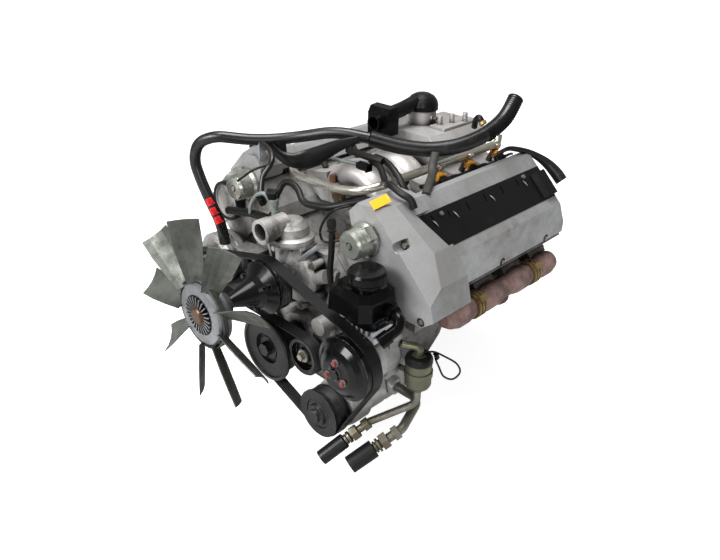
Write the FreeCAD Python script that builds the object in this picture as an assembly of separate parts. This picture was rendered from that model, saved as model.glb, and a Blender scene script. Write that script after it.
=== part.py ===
import FreeCAD, Part
import math
import os

# A V8 petrol engine with its front belt drive, fan, intake, harness and accessories.
# Millimetres. The origin is on the crankshaft axis at the rear face of the block.
# +X is towards the left bank, +Y to the rear, +Z up. The fan is at the front, at -Y.

# Cylinder layout
BORE_PITCH = 106.0
STROKE = 85.0
BANK_TILT = 45.0
BANK_STAGGER = 24.0
REAR_CYLINDER_Y = -78.0
DECK_H = 230.0
HEAD_HEIGHT = 100.0
HEAD_HALF_WIDTH = 100.0

# Lengths along the crankshaft
BLOCK_LENGTH = 500.0
TIMING_CASE_DEPTH = 60.0
HEAD_REAR_Y = -20.0
HEAD_LENGTH = 540.0
COVER_SPLIT_Y = -455.0

# Crankcase and sump
SKIRT_HALF_WIDTH = 115.0
SKIRT_DEPTH = 60.0
CASE_WALL = 10.0
CAVITY_R = 94.0
SUMP_DEPTH = 200.0
SUMP_SHALLOW_DEPTH = 112.0
SUMP_STEP_Y = -170.0
PAN_WALL = 5.0

# Crankshaft
MAIN_R = 32.0
PIN_R = 24.0
WEB_THICKNESS = 18.0
COUNTERWEIGHT_R = 82.0
SNOUT_R = 16.0
CRANK_FLANGE_R = 45.0
PILOT_R = 17.5
PILOT_DEPTH = 20.0
REAR_MAIN_Y = -40.0

# Rear face
BELL_FLANGE_R = 180.0
BELL_FLANGE_THICKNESS = 16.0
BELL_PCD = 336.0
BELL_HOLES = 8
BELL_HOLE_R = 5.25
DRIVE_PLATE_R = 150.0
DRIVE_PLATE_PCD = 230.0
DRIVE_PLATE_HOLES = 6
DRIVE_PLATE_HOLE_R = 5.25
DRIVE_PLATE_THICKNESS = 4.0

# Engine mounts on the sides of the block
MOUNT_PAD_X = 152.0
MOUNT_PAD_Y = -290.0
MOUNT_PAD_Z = 4.0
MOUNT_SPACING_Y = 90.0
MOUNT_SPACING_Z = 44.0
MOUNT_HOLE_R = 5.25

# Clearances
RUN_GAP = 0.05
CLEAR = 0.3

# Belt drive: one flat-backed ribbed belt over six pulleys and a roller
BELT_Y = -656.0
BELT_WIDTH = 26.0
BELT_THICKNESS = 5.0
BELT_RIBS = 6
RIB_DEPTH = 2.2
RIM_FRONT_Y = -690.0
RIM_REAR_Y = -630.0
BORE_START_Y = -700.0
CRANK_PULLEY_R = 64.0
CRANK_RIM_R = 75.0
PUMP_X = 0.0
PUMP_Z = 151.0
PUMP_PULLEY_R = 56.0
STEERING_X = 245.0
STEERING_Z = 73.0
STEERING_PULLEY_R = 64.0
COMPRESSOR_X = 166.0
COMPRESSOR_Z = -82.0
COMPRESSOR_PULLEY_R = 51.0
ROLLER_X = 112.0
ROLLER_Z = 32.0
ROLLER_R = 39.0
ALTERNATOR_X = -240.0
ALTERNATOR_Z = 112.0
ALTERNATOR_PULLEY_R = 33.0

# Fan
FAN_BLADES = 9
FAN_Y = -822.0
FAN_HUB_R = 74.0
FAN_TIP_R = 190.0
FAN_BLADE_THICKNESS = 2.4
FAN_FIRST_BLADE = 30.0
CLUTCH_REAR_Y = -764.0
CLUTCH_BORE_R = 9.0
CLUTCH_BORE_END_Y = -785.0
CLUTCH_FRONT_Y = -838.0
CLUTCH_R = 66.0

# Camshafts
CAM_HALF_SPACING = 44.0
CAM_BELOW_COVER = 16.0
ADJUSTER_ABOVE_CAM = 30.0
PORT_ABOVE_DECK = 38.0
INTAKE_FOOT_ABOVE_DECK = 32.0
COVER_RISE = 66.0
PANEL_RECESS = 2.0
PANEL_THICKNESS = 3.5
TIMING_COVER_RISE = 94.0
TIMING_RIDGE_RISE = 74.0
CAM_BASE_R = 17.0
CAM_LIFT = 9.0
CAM_JOURNAL_R = 14.0
CHAIN_PITCH = 8.0
CRANK_TEETH = 16
CAM_TEETH = 32
IDLER_TEETH = 16
IDLER_Z = 130.0
CHAIN_Y = -511.0
CHAIN_WIDTH = 10.0
CHAIN_HEIGHT = 7.0
CHAIN_CHANNEL = 4.4
CHAIN_CORE = 1.0
TOOTH_GAP_R = 2.2
SPROCKET_WIDTH = 3.8

# Intake
RUNNER_CENTRE_X = 0.0
RUNNER_CENTRE_Z = 250.0
RUNNER_BEND_R = 80.0
INTAKE_FACE_HEIGHT = 56.0
RUNNER_HALF_WIDTH = 37.0
RUNNER_HALF_HEIGHT = 26.0
PLENUM_REAR_Y = -40.0
PLENUM_FRONT_Y = -235.0
THROTTLE_BORE_R = 28.0

COS_TILT = math.cos(math.radians(BANK_TILT))
SIN_TILT = math.sin(math.radians(BANK_TILT))
BLOCK_FRONT_Y = -BLOCK_LENGTH
CASE_FRONT_Y = BLOCK_FRONT_Y - TIMING_CASE_DEPTH
COVER_H = DECK_H + HEAD_HEIGHT
CAM_H = COVER_H - CAM_BELOW_COVER
PORT_H = DECK_H + PORT_ABOVE_DECK
INTAKE_FOOT_H = DECK_H + INTAKE_FOOT_ABOVE_DECK
ADJUSTER_H = CAM_H + ADJUSTER_ABOVE_CAM
COVER_TOP_H = COVER_H + COVER_RISE
PANEL_H = COVER_TOP_H - PANEL_RECESS
PANEL_TOP_H = PANEL_H + PANEL_THICKNESS
HEAD_FRONT_Y = HEAD_REAR_Y - HEAD_LENGTH
CYLINDER_Y = [REAR_CYLINDER_Y - BORE_PITCH * i for i in range(4)]
MAIN_Y = [REAR_MAIN_Y - BORE_PITCH * i for i in range(5)]
BELT_FRONT_Y = BELT_Y - BELT_WIDTH / 2
BELT_REAR_Y = BELT_Y + BELT_WIDTH / 2
AXIS_Y = FreeCAD.Vector(0, 1, 0)


def vec(x, y, z):
    return FreeCAD.Vector(x, y, z)


def fuse(shapes):
    """One solid out of pieces that touch."""
    first = shapes[0]
    for other in shapes[1:]:
        first = first.fuse(other)
    return first.removeSplitter()


def trimmed(shape, *neighbours):
    """The piece cut back to where it lies on its neighbours."""
    for other in neighbours:
        shape = shape.cut(other)
    return shape


def group(shapes):
    return Part.makeCompound(shapes)


def block_between(low, high):
    """Box from its lowest to its highest corner."""
    size = [high[i] - low[i] for i in range(3)]
    return Part.makeBox(size[0], size[1], size[2], vec(*low))


def rod(start, end, radius):
    """Round bar between two points."""
    a = vec(*start)
    b = vec(*end)
    return Part.makeCylinder(radius, (b - a).Length, a, b - a)


def disc_y(x, z, y_front, y_rear, radius):
    """Disc or shaft along Y."""
    return Part.makeCylinder(radius, y_rear - y_front, vec(x, y_front, z), AXIS_Y)


def ring_y(x, z, y_front, y_rear, outer, inner):
    return disc_y(x, z, y_front, y_rear, outer).cut(disc_y(x, z, y_front - 1, y_rear + 1, inner))


def prism_y(outline, y_front, y_rear):
    """Outline of (x, z) points drawn out along Y."""
    points = [vec(x, y_front, z) for x, z in outline]
    face = Part.Face(Part.makePolygon(points + [points[0]]))
    return face.extrude(vec(0, y_rear - y_front, 0))


def prism_x(outline, x_low, x_high):
    """Outline of (y, z) points drawn out along X."""
    points = [vec(x_low, y, z) for y, z in outline]
    face = Part.Face(Part.makePolygon(points + [points[0]]))
    return face.extrude(vec(x_high - x_low, 0, 0))


def turned_y(x, z, profile):
    """Solid turned about an axis along Y through (x, z). The profile lists (radius, y)."""
    points = [vec(x + radius, y, z) for radius, y in profile]
    face = Part.Face(Part.makePolygon(points + [points[0]]))
    return face.revolve(vec(x, 0, z), AXIS_Y, 360)


def mirrored(outline):
    """Right half of an outline, bottom to top, with its left half added."""
    return outline + [(-x, z) for x, z in reversed(outline)]


def hex_bolt(base, direction, across=12.0, height=7.0):
    """Six-sided bolt head standing on a face."""
    axis = vec(*direction)
    radius = across / math.sqrt(3)
    side = axis.cross(vec(0.3, 0.9, 0.2))
    side.normalize()
    up = axis.cross(side)
    up.normalize()
    corners = []
    for i in range(6):
        turn = math.radians(60 * i)
        corners.append(vec(*base) + side * (radius * math.cos(turn)) + up * (radius * math.sin(turn)))
    face = Part.Face(Part.makePolygon(corners + [corners[0]]))
    axis.normalize()
    return face.extrude(axis * height)


def polar(x, z, radius, degrees):
    turn = math.radians(degrees)
    return x + radius * math.cos(turn), z + radius * math.sin(turn)


def bend_radius(before, corner, after):
    """Largest arc that the two runs at a corner allow, by their shorter one."""
    a = before - corner
    b = after - corner
    turn = math.pi - a.getAngle(b)
    return 0.45 * min(a.Length, b.Length) / math.tan(turn / 2)


def pipe(points, radius, bend=None):
    """Round pipe along straight runs joined by tangent arcs."""
    route = [vec(*p) for p in points]
    edges = []
    start = route[0]
    for i in range(1, len(route) - 1):
        a = route[i - 1] - route[i]
        b = route[i + 1] - route[i]
        turn = math.pi - a.getAngle(b)
        arc = bend_radius(route[i - 1], route[i], route[i + 1])
        if bend:
            arc = min(arc, bend)
        reach = arc * math.tan(turn / 2)
        a.normalize()
        b.normalize()
        first = route[i] + a * reach
        last = route[i] + b * reach
        inward = a + b
        inward.normalize()
        middle = route[i] + inward * (arc / math.cos(turn / 2) - arc)
        edges.append(Part.LineSegment(start, first).toShape())
        edges.append(Part.Arc(first, middle, last).toShape())
        start = last
    edges.append(Part.LineSegment(start, route[-1]).toShape())
    spine = Part.Wire(edges)
    circle = Part.Circle(route[0], route[1] - route[0], radius)
    section = Part.Wire([circle.toShape()])
    return spine.makePipeShell([section], True, False)


def swept_loop(stops, section):
    """Closed band of one section on the tangent runs and arcs round wheels (x, z, radius, way)."""
    count = len(stops)
    headings = []
    for i in range(count):
        xi, zi, ri, di = stops[i]
        xj, zj, rj, dj = stops[(i + 1) % count]
        span = math.hypot(xj - xi, zj - zi)
        headings.append(math.atan2(zj - zi, xj - xi) - math.asin((dj * rj - di * ri) / span))

    def point_at(stop, heading, depth):
        x, z, radius, way = stop
        left = (-math.sin(heading), math.cos(heading))
        return (x - way * radius * left[0] + depth * left[0], z - way * radius * left[1] + depth * left[1])

    def face_at(stop, heading):
        corners = []
        for depth, y in section:
            px, pz = point_at(stop, heading, depth)
            corners.append(vec(px, y, pz))
        return Part.Face(Part.makePolygon(corners + [corners[0]]))

    spans = []
    for i in range(count):
        stop = stops[i]
        into = headings[i - 1]
        out = headings[i]
        turn = math.degrees(out - into) % 360
        if stop[3] < 0:
            turn -= 360
        spans.append(face_at(stop, into).revolve(vec(stop[0], 0, stop[1]), vec(0, -1, 0), turn))
        end_x, end_z = point_at(stops[(i + 1) % count], out, 0)
        from_x, from_z = point_at(stop, out, 0)
        spans.append(face_at(stop, out).extrude(vec(end_x - from_x, 0, end_z - from_z)))
    return fuse(spans)


def on_bank(shape, side):
    """From a bank's own frame (across, along, up) to the engine. side is 1 for left, -1 for right."""
    placed = shape.copy()
    placed.rotate(vec(0, 0, 0), AXIS_Y, BANK_TILT)
    if side < 0:
        placed = placed.mirror(vec(0, 0, 0), vec(1, 0, 0))
        placed.translate(vec(0, BANK_STAGGER, 0))
    return placed


def bank_point(across, y, height, side):
    x = (height + across) * SIN_TILT
    z = (height - across) * COS_TILT
    if side < 0:
        return (-x, y + BANK_STAGGER, z)
    return (x, y, z)


# Short block

DECK_OUTER = bank_point(80.0, 0, DECK_H, 1)
DECK_INNER = bank_point(-75.0, 0, DECK_H, 1)
VALLEY_HALF_WIDTH = 44.0
VALLEY_Z = 150.0


def block_outline(shrink=0.0):
    """Right half of the block's section, from the sump joint up to the valley."""
    return [
        (SKIRT_HALF_WIDTH - shrink, -SKIRT_DEPTH),
        (134.0 - shrink, 21.0),
        (DECK_OUTER[0] - shrink, DECK_OUTER[2]),
        (DECK_INNER[0] - shrink / 2, DECK_INNER[2] - shrink),
        (VALLEY_HALF_WIDTH, VALLEY_Z - shrink),
    ]


def engine_block():
    body = prism_y(mirrored(block_outline()), BLOCK_FRONT_Y, 0)
    flange = disc_y(0, 0, -BELL_FLANGE_THICKNESS, 0, BELL_FLANGE_R)
    body = body.fuse(flange)
    end_wall = CASE_WALL + 4
    cavity = disc_y(0, 0, BLOCK_FRONT_Y + end_wall, -end_wall, CAVITY_R)
    opening = block_between(
        (-CAVITY_R, BLOCK_FRONT_Y + end_wall, -BELL_FLANGE_R), (CAVITY_R, -end_wall, 0)
    )
    webs = []
    for y in MAIN_Y:
        webs.append(disc_y(0, 0, y - 12, y + 12, CAVITY_R + 1))
    hollow = cavity.fuse(opening.cut(block_between((-200, -BELL_FLANGE_THICKNESS, -200),
        (200, 1, -SKIRT_DEPTH))))
    for web in webs:
        upper = web.cut(block_between((-120, BLOCK_FRONT_Y, -120), (120, 0, 0)))
        hollow = hollow.cut(upper)
    body = body.cut(hollow)
    body = body.cut(disc_y(0, 0, BLOCK_FRONT_Y - 1, -end_wall, MAIN_R + RUN_GAP))
    body = body.cut(disc_y(0, 0, -end_wall - 1, 1, CRANK_FLANGE_R + CLEAR))
    for side in (1, -1):
        pad = block_between(
            (125, MOUNT_PAD_Y - 65, MOUNT_PAD_Z - 38), (MOUNT_PAD_X, MOUNT_PAD_Y + 65, MOUNT_PAD_Z + 38)
        )
        body = body.fuse(pad if side > 0 else pad.mirror(vec(0, 0, 0), vec(1, 0, 0)))
    for side in (1, -1):
        for dy in (-MOUNT_SPACING_Y / 2, MOUNT_SPACING_Y / 2):
            for dz in (-MOUNT_SPACING_Z / 2, MOUNT_SPACING_Z / 2):
                y = MOUNT_PAD_Y + dy
                z = MOUNT_PAD_Z + dz
                body = body.cut(rod((side * (MOUNT_PAD_X + 1), y, z), (side * (MOUNT_PAD_X - 26), y, z),
                    MOUNT_HOLE_R))
    for i in range(BELL_HOLES):
        x, z = polar(0, 0, BELL_PCD / 2, 22.5 + i * 360 / BELL_HOLES)
        body = body.cut(disc_y(x, z, -BELL_FLANGE_THICKNESS - 1, 1, BELL_HOLE_R))
    ribs = []
    for y in (-120.0, -200.0, -400.0, -460.0):
        for side in (1, -1):
            rib = prism_y([(112, -40), (134, 21), (165, 50), (150, 21)], y - 4, y + 4)
            ribs.append(rib if side > 0 else rib.mirror(vec(0, 0, 0), vec(1, 0, 0)))
    for rib in ribs:
        body = body.fuse(rib)
    return body.removeSplitter()


def bearing_caps():
    caps = []
    bolts = []
    for y in MAIN_Y:
        cap = prism_y(mirrored([(40, -48), (52, -30), (52, 0)]), y - 12, y + 12)
        caps.append(cap.cut(disc_y(0, 0, y - 20, y + 20, MAIN_R + RUN_GAP)))
        for x in (-44.0, 44.0):
            bolts.append(hex_bolt((x, y, -30), (0, 0, -1), 13, 8))
    merged = []
    for i, cap in enumerate(caps):
        flat = cap
        for bolt in bolts[2 * i:2 * i + 2]:
            flat = flat.cut(block_between((-60, MAIN_Y[i] - 13, -60), (-38, MAIN_Y[i] + 13, -30)))
            flat = flat.cut(block_between((38, MAIN_Y[i] - 13, -60), (60, MAIN_Y[i] + 13, -30)))
        merged.append(flat)
    return group(merged + bolts)


def crank_throw(pin_y, angle):
    """Two webs with counterweights and the pin between them, for one pair of cylinders."""
    px, pz = polar(0, 0, STROKE / 2, angle)
    half = BORE_PITCH / 2
    pieces = [disc_y(px, pz, pin_y - half + 30, pin_y + half - 30, PIN_R)]
    for y in (pin_y - half + 13, pin_y + half - 13 - WEB_THICKNESS):
        web = disc_y(0, 0, y, y + WEB_THICKNESS, MAIN_R + 10)
        web = web.fuse(disc_y(px, pz, y, y + WEB_THICKNESS, PIN_R + 9))
        weight = disc_y(0, 0, y, y + WEB_THICKNESS, COUNTERWEIGHT_R)
        keep = block_between((-200, y - 1, -200), (200, y + WEB_THICKNESS + 1, 0))
        keep.rotate(vec(0, 0, 0), AXIS_Y, -(angle - 90))
        pieces.append(web.fuse(weight.common(keep)))
    return pieces


def crankshaft():
    pieces = []
    for y in MAIN_Y:
        pieces.append(disc_y(0, 0, y - 14, y + 14, MAIN_R))
    for i, angle in enumerate((90, 0, 180, 270)):
        pieces += crank_throw(MAIN_Y[i] - BORE_PITCH / 2, angle)
    pieces.append(disc_y(0, 0, BELT_Y - 8, MAIN_Y[4] - 13, SNOUT_R))
    pieces.append(disc_y(0, 0, MAIN_Y[0] + 13, 0, CRANK_FLANGE_R))
    pieces.append(sprocket(0, 0, CHAIN_Y, CRANK_TEETH, SNOUT_R + 1))
    shaft = fuse(pieces)
    return shaft.cut(disc_y(0, 0, -PILOT_DEPTH, 1, PILOT_R))


def drive_plate():
    plate = disc_y(0, 0, 0, DRIVE_PLATE_THICKNESS, DRIVE_PLATE_R)
    plate = plate.fuse(ring_y(0, 0, 0, 12, DRIVE_PLATE_R + 4, DRIVE_PLATE_R - 8))
    plate = plate.cut(disc_y(0, 0, -1, 20, PILOT_R + 5))
    for i in range(DRIVE_PLATE_HOLES):
        x, z = polar(0, 0, DRIVE_PLATE_PCD / 2, i * 360 / DRIVE_PLATE_HOLES)
        plate = plate.cut(disc_y(x, z, -1, 20, DRIVE_PLATE_HOLE_R))
        x, z = polar(0, 0, 76, 30 + i * 360 / DRIVE_PLATE_HOLES)
        plate = plate.cut(disc_y(x, z, -1, 20, 15))
    bolts = []
    for i in range(6):
        x, z = polar(0, 0, 34, i * 60)
        bolts.append(hex_bolt((x, DRIVE_PLATE_THICKNESS, z), (0, 1, 0), 14, 6))
    return group([plate] + bolts)


def oil_pan():
    top = -SKIRT_DEPTH
    front = BLOCK_FRONT_Y + 2
    rear = -BELL_FLANGE_THICKNESS - 2

    def side_view(inset):
        return [
            (front + inset, top),
            (rear - inset, top),
            (rear - inset, -SUMP_SHALLOW_DEPTH + inset),
            (SUMP_STEP_Y, -SUMP_SHALLOW_DEPTH + inset),
            (SUMP_STEP_Y - 34, -SUMP_DEPTH + inset),
            (front + 22 + inset, -SUMP_DEPTH + inset),
        ]

    def front_view(inset):
        half = SKIRT_HALF_WIDTH - 16 - inset
        return mirrored([(half - 24, -SUMP_DEPTH + inset), (half - 6, -SUMP_DEPTH + 60), (half, top)])

    def tub(inset):
        long_cut = prism_x(side_view(inset), -150, 150)
        return long_cut.common(prism_y(front_view(inset), -600, 50))

    pan = tub(0)
    rim = block_between((-SKIRT_HALF_WIDTH, front, top - 8), (SKIRT_HALF_WIDTH, rear, top))
    pan = pan.fuse(rim).cut(tub(PAN_WALL))
    ribs = []
    for i in range(5):
        x = -60.0 + 30.0 * i
        ribs.append(block_between((x - 2, front + 40, -SUMP_DEPTH + 4),
            (x + 2, SUMP_STEP_Y - 50, -SUMP_DEPTH + 12)))
    for rib in ribs:
        pan = pan.fuse(rib)
    return pan.removeSplitter()


def sump_fasteners():
    pieces = []
    y_places = [BLOCK_FRONT_Y + 30 + 84 * i for i in range(6)]
    for y in y_places:
        for side in (1, -1):
            pieces.append(hex_bolt((side * (SKIRT_HALF_WIDTH - 3 - 5), y, -SKIRT_DEPTH - 8), (0, 0, -1),
                9, 6))
    return group(pieces)


# Timing case and front of the engine

CASE_CORNER = bank_point(-90.0, 0, DECK_H, 1)
CHAIN_SLOT_FRONT = -524.0
IDLER_PIN_R = 7.0


def timing_case():
    half = [
        (SKIRT_HALF_WIDTH, -SKIRT_DEPTH),
        (134.0, 21.0),
        (DECK_OUTER[0] - 2, DECK_OUTER[2] - 2),
        (CASE_CORNER[0] + 1, CASE_CORNER[2] - 3),
        (72.0, 212.0),
    ]
    body = prism_y(mirrored(half), CASE_FRONT_Y, BLOCK_FRONT_Y)
    inner = [(x * 0.9, z * 0.9) for x, z in half]
    body = body.cut(prism_y(mirrored(inner), CASE_FRONT_Y + CASE_WALL, BLOCK_FRONT_Y + 1))
    for side in (1, -1):
        shift = 0 if side > 0 else BANK_STAGGER
        low = CHAIN_SLOT_FRONT - shift
        high = BLOCK_FRONT_Y + 1 - shift
        body = body.cut(on_bank(block_between((-84, low, DECK_H - 40), (74, high, DECK_H + 1)), side))
    body = body.fuse(disc_y(0, IDLER_Z, CASE_FRONT_Y + CASE_WALL - 1, CHAIN_Y + 10, IDLER_PIN_R))
    nose = turned_y(0, 0, [(0, -582), (48, -582), (58, CASE_FRONT_Y + 1), (0, CASE_FRONT_Y + 1)])
    body = body.fuse(nose)
    for degrees in (30, 150, 210, 330):
        x, z = polar(0, 0, 96, degrees)
        body = body.fuse(disc_y(x, z, CASE_FRONT_Y - 6, CASE_FRONT_Y + 2, 11))
    for x0, z0, x1, z1 in ((60, -40, 128, 60), (-60, -40, -128, 60), (70, 60, 110, 190),
        (-70, 60, -110, 190)):
        along = math.atan2(z1 - z0, x1 - x0)
        dx = 3 * math.sin(along)
        dz = 3 * math.cos(along)
        outline = [(x0 - dx, z0 + dz), (x1 - dx, z1 + dz), (x1 + dx, z1 - dz), (x0 + dx, z0 - dz)]
        body = body.fuse(prism_y(outline, CASE_FRONT_Y - 10, CASE_FRONT_Y + 2))
    body = body.cut(disc_y(0, 0, BORE_START_Y, 0, 30 + CLEAR))
    return body.removeSplitter()


WATER_PUMP_FRONT = -636.0
PUMP_SHAFT_R = 9.0
PUMP_BOLT_CIRCLE_R = 73.0
PUMP_BOLT_ANGLES = (-75, -25, 35, 145, 205, 255)


def water_pump():
    x = PUMP_X
    z = PUMP_Z
    case_front = CASE_FRONT_Y
    volute = turned_y(x, z, [
        (0, case_front), (66, case_front), (66, case_front - 24), (58, case_front - 34),
        (30, case_front - 42), (24, WATER_PUMP_FRONT), (0, WATER_PUMP_FRONT),
    ])
    outlet = rod((-26, -585, 180), (-26, -585, 226), 24)
    riser = rod((22, -584, 180), (22, -584, 226), 17)
    bypass = rod((58, -576, 160), (92, -576, 176), 15)
    body = volute.fuse(outlet).fuse(riser).fuse(bypass)
    for degrees in PUMP_BOLT_ANGLES:
        bx, bz = polar(x, z, PUMP_BOLT_CIRCLE_R, degrees)
        body = body.fuse(disc_y(bx, bz, case_front - 28, case_front, 9))
    bore = disc_y(x, z, BORE_START_Y, case_front - 20, PUMP_SHAFT_R + RUN_GAP)
    return body.cut(bore).removeSplitter()


def pump_bolts():
    pieces = []
    for degrees in PUMP_BOLT_ANGLES:
        bx, bz = polar(PUMP_X, PUMP_Z, PUMP_BOLT_CIRCLE_R, degrees)
        pieces.append(hex_bolt((bx, CASE_FRONT_Y - 28, bz), (0, -1, 0), 11, 7))
    return group(pieces)


THERMOSTAT_NECK = (-10.0, -626.0, 270.0)
THERMOSTAT_NECK_R = 18.0
NECK_ROOT_R = 24.0
HOSE_LAND_R = 26.0
HOSE_LAND_LENGTH = 24.0
NECK_LENGTH = 38.0


def thermostat_housing():
    drum = turned_z(0, -590, [(0, 232), (46, 232), (48, 238), (48, 246), (38, 250), (36, 268), (24, 280),
        (0, 282)])
    base = block_between((-50, -606, 226), (46, -562, 234))
    nx, ny, nz = THERMOSTAT_NECK
    front = ny - NECK_LENGTH
    land_rear = front + HOSE_LAND_LENGTH
    root = rod((nx, ny + 26, nz), (nx, land_rear - 1, nz), NECK_ROOT_R)
    land = rod((nx, land_rear, nz), (nx, front, nz), HOSE_LAND_R)
    body = fuse([drum, base, root, land])
    body = body.cut(rod((nx, ny - NECK_LENGTH - 1, nz), (nx, ny + 10, nz), THERMOSTAT_NECK_R))
    return body


def turned_z(x, y, profile):
    """Solid turned about a vertical axis through (x, y). The profile lists (radius, z)."""
    points = [vec(x + radius, y, z) for radius, z in profile]
    face = Part.Face(Part.makePolygon(points + [points[0]]))
    return face.revolve(vec(x, y, 0), vec(0, 0, 1), 360)


# Cylinder heads and covers

def cylinder_head(side):
    half = HEAD_HALF_WIDTH
    outline = [
        (-half + 14, DECK_H), (half - 20, DECK_H), (half, DECK_H + 24), (half, COVER_H),
        (-half, COVER_H), (-half, DECK_H + 30),
    ]
    body = prism_y(outline, HEAD_FRONT_Y, HEAD_REAR_Y)
    bay_floor = CAM_H - 34
    bay = [(-half + 17, DECK_H - 1), (half - 26, DECK_H - 1), (half - 10, DECK_H + 50),
           (half - 10, COVER_H + 1), (-half + 9, COVER_H + 1), (-half + 9, INTAKE_FOOT_H)]
    body = body.cut(prism_y(bay, HEAD_FRONT_Y + 12, COVER_SPLIT_Y - 12))
    top = COVER_H + 1
    body = body.cut(block_between((-half + 12, COVER_SPLIT_Y + 2, bay_floor),
        (half - 12, HEAD_REAR_Y - 12, top)))
    for across in (-CAM_HALF_SPACING, CAM_HALF_SPACING):
        for y in CAM_BEARING_Y:
            saddle = block_between((across - 22, y - 9, bay_floor - 1), (across + 22, y + 9, CAM_H))
            body = body.fuse(saddle)
        tower_y = COVER_SPLIT_Y - 5
        tower = block_between((across - 24, tower_y - 8, DECK_H + 20), (across + 24, tower_y + 8, CAM_H))
        body = body.fuse(tower)
        body = body.cut(disc_y(across, CAM_H, HEAD_FRONT_Y + 12, HEAD_REAR_Y - 11, CAM_JOURNAL_R + RUN_GAP))
    for y in CYLINDER_Y:
        port = rod((half + 1, y, PORT_H), (half - 40, y, PORT_H), PORT_R)
        boss = block_between((half - 2, y - 34, PORT_H - 24), (half + 8, y + 34, PORT_H + 24))
        body = body.fuse(boss).cut(port.fuse(rod((half + 9, y, PORT_H), (half, y, PORT_H), PORT_R)))
    plate = [(-half, INTAKE_FOOT_H), (60, INTAKE_FOOT_H), (half - 2, COVER_H - 30), (half - 2, COVER_H),
             (-half, COVER_H)]
    body = body.fuse(prism_y(plate, HEAD_FRONT_Y - 8, HEAD_FRONT_Y + 1))
    return on_bank(body.removeSplitter(), side)


PORT_R = 19.0
CAM_BEARING_Y = [-434.0, -343.0, -237.0, -131.0, -42.0]


def pitch_radius(teeth):
    return CHAIN_PITCH / 2 / math.sin(math.pi / teeth)


def sprocket(x, z, y, teeth, hub_r):
    """Chain wheel with rounded tooth gaps, on a wider hub."""
    tip = pitch_radius(teeth) - CHAIN_CORE - CLEAR
    wheel = disc_y(x, z, y - SPROCKET_WIDTH / 2, y + SPROCKET_WIDTH / 2, tip)
    for i in range(teeth):
        gx, gz = polar(x, z, tip, i * 360 / teeth)
        wheel = wheel.cut(disc_y(gx, gz, y - SPROCKET_WIDTH, y + SPROCKET_WIDTH, TOOTH_GAP_R))
    return wheel.fuse(disc_y(x, z, y - 7, y + 7, hub_r))


def camshaft(across, side):
    """One shaft with eight lobes, its journals and its chain wheel."""
    wheel_y = CHAIN_Y if side > 0 else CHAIN_Y - BANK_STAGGER
    front = wheel_y - 9
    rear = HEAD_REAR_Y - 14
    pieces = [disc_y(across, CAM_H, front, rear, CAM_JOURNAL_R)]
    for i, y in enumerate(CYLINDER_Y):
        for j, dy in enumerate((-19.0, 19.0)):
            turn = 90 * i + 25 * j
            lobe = disc_y(across, CAM_H, y + dy - 8, y + dy + 8, CAM_BASE_R)
            tx, tz = polar(across, CAM_H, CAM_LIFT + CAM_BASE_R - 9, turn)
            tip = disc_y(tx, tz, y + dy - 8, y + dy + 8, 9)
            sx, sz = polar(0, 0, 1, turn + 90)
            flank = prism_y([
                (across + 16 * sx, CAM_H + 16 * sz), (tx + 9 * sx, tz + 9 * sz),
                (tx - 9 * sx, tz - 9 * sz), (across - 16 * sx, CAM_H - 16 * sz),
            ], y + dy - 8, y + dy + 8)
            pieces.append(lobe.fuse(tip).fuse(flank))
    pieces.append(sprocket(across, CAM_H, wheel_y, CAM_TEETH, CAM_JOURNAL_R + 6))
    return on_bank(fuse(pieces), side)


def chain_stops():
    """Chain wheels in the order in which the chain meets them, anticlockwise from the front."""
    cam = pitch_radius(CAM_TEETH)
    wheels = []
    for side, order in ((1, (1, -1)), (-1, (-1, 1))):
        for sign in order:
            x, y, z = bank_point(sign * CAM_HALF_SPACING, 0, CAM_H, side)
            wheels.append((x, z, cam, 1))
    idler = (0.0, IDLER_Z, pitch_radius(IDLER_TEETH), -1)
    return [wheels[0], wheels[1], idler, wheels[2], wheels[3], (0.0, 0.0, pitch_radius(CRANK_TEETH), 1)]


def timing_chain():
    """Chain as a band: two side plates joined at mid height, with a channel for the teeth inside and out."""
    half = CHAIN_HEIGHT / 2
    wide = CHAIN_WIDTH / 2
    gap = CHAIN_CHANNEL / 2
    section = [
        (-half, -wide), (half, -wide), (half, -gap), (CHAIN_CORE, -gap), (CHAIN_CORE, gap), (half, gap),
        (half, wide), (-half, wide), (-half, gap), (-CHAIN_CORE, gap), (-CHAIN_CORE, -gap), (-half, -gap),
    ]
    return swept_loop(chain_stops(), [(depth, CHAIN_Y + y) for depth, y in section])


def chain_idler():
    wheel = sprocket(0, IDLER_Z, CHAIN_Y, IDLER_TEETH, 13)
    wheel = wheel.fuse(disc_y(0, IDLER_Z, CHAIN_Y - 9, CHAIN_Y + 9, 12))
    return wheel.cut(disc_y(0, IDLER_Z, CHAIN_Y - 20, CHAIN_Y + 20, IDLER_PIN_R + RUN_GAP))


FLANK_BOLT_Y = (-416.0, -262.0, -90.0)
FLANK_WAY = vec(1.0, 0.0, 0.9)


def cover_section(inset, low):
    """Cross-section of the long cam cover: steep flank outside, wide flat top."""
    return [
        (HEAD_HALF_WIDTH - 4 - inset, low),
        (HEAD_HALF_WIDTH - 4 - inset, COVER_H + 8),
        (41 - inset * 0.5, COVER_TOP_H - inset),
        (-96 + inset, COVER_TOP_H - inset),
        (-108 + inset, COVER_TOP_H - 12 - inset),
        (-108 + inset, low),
    ]


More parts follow.
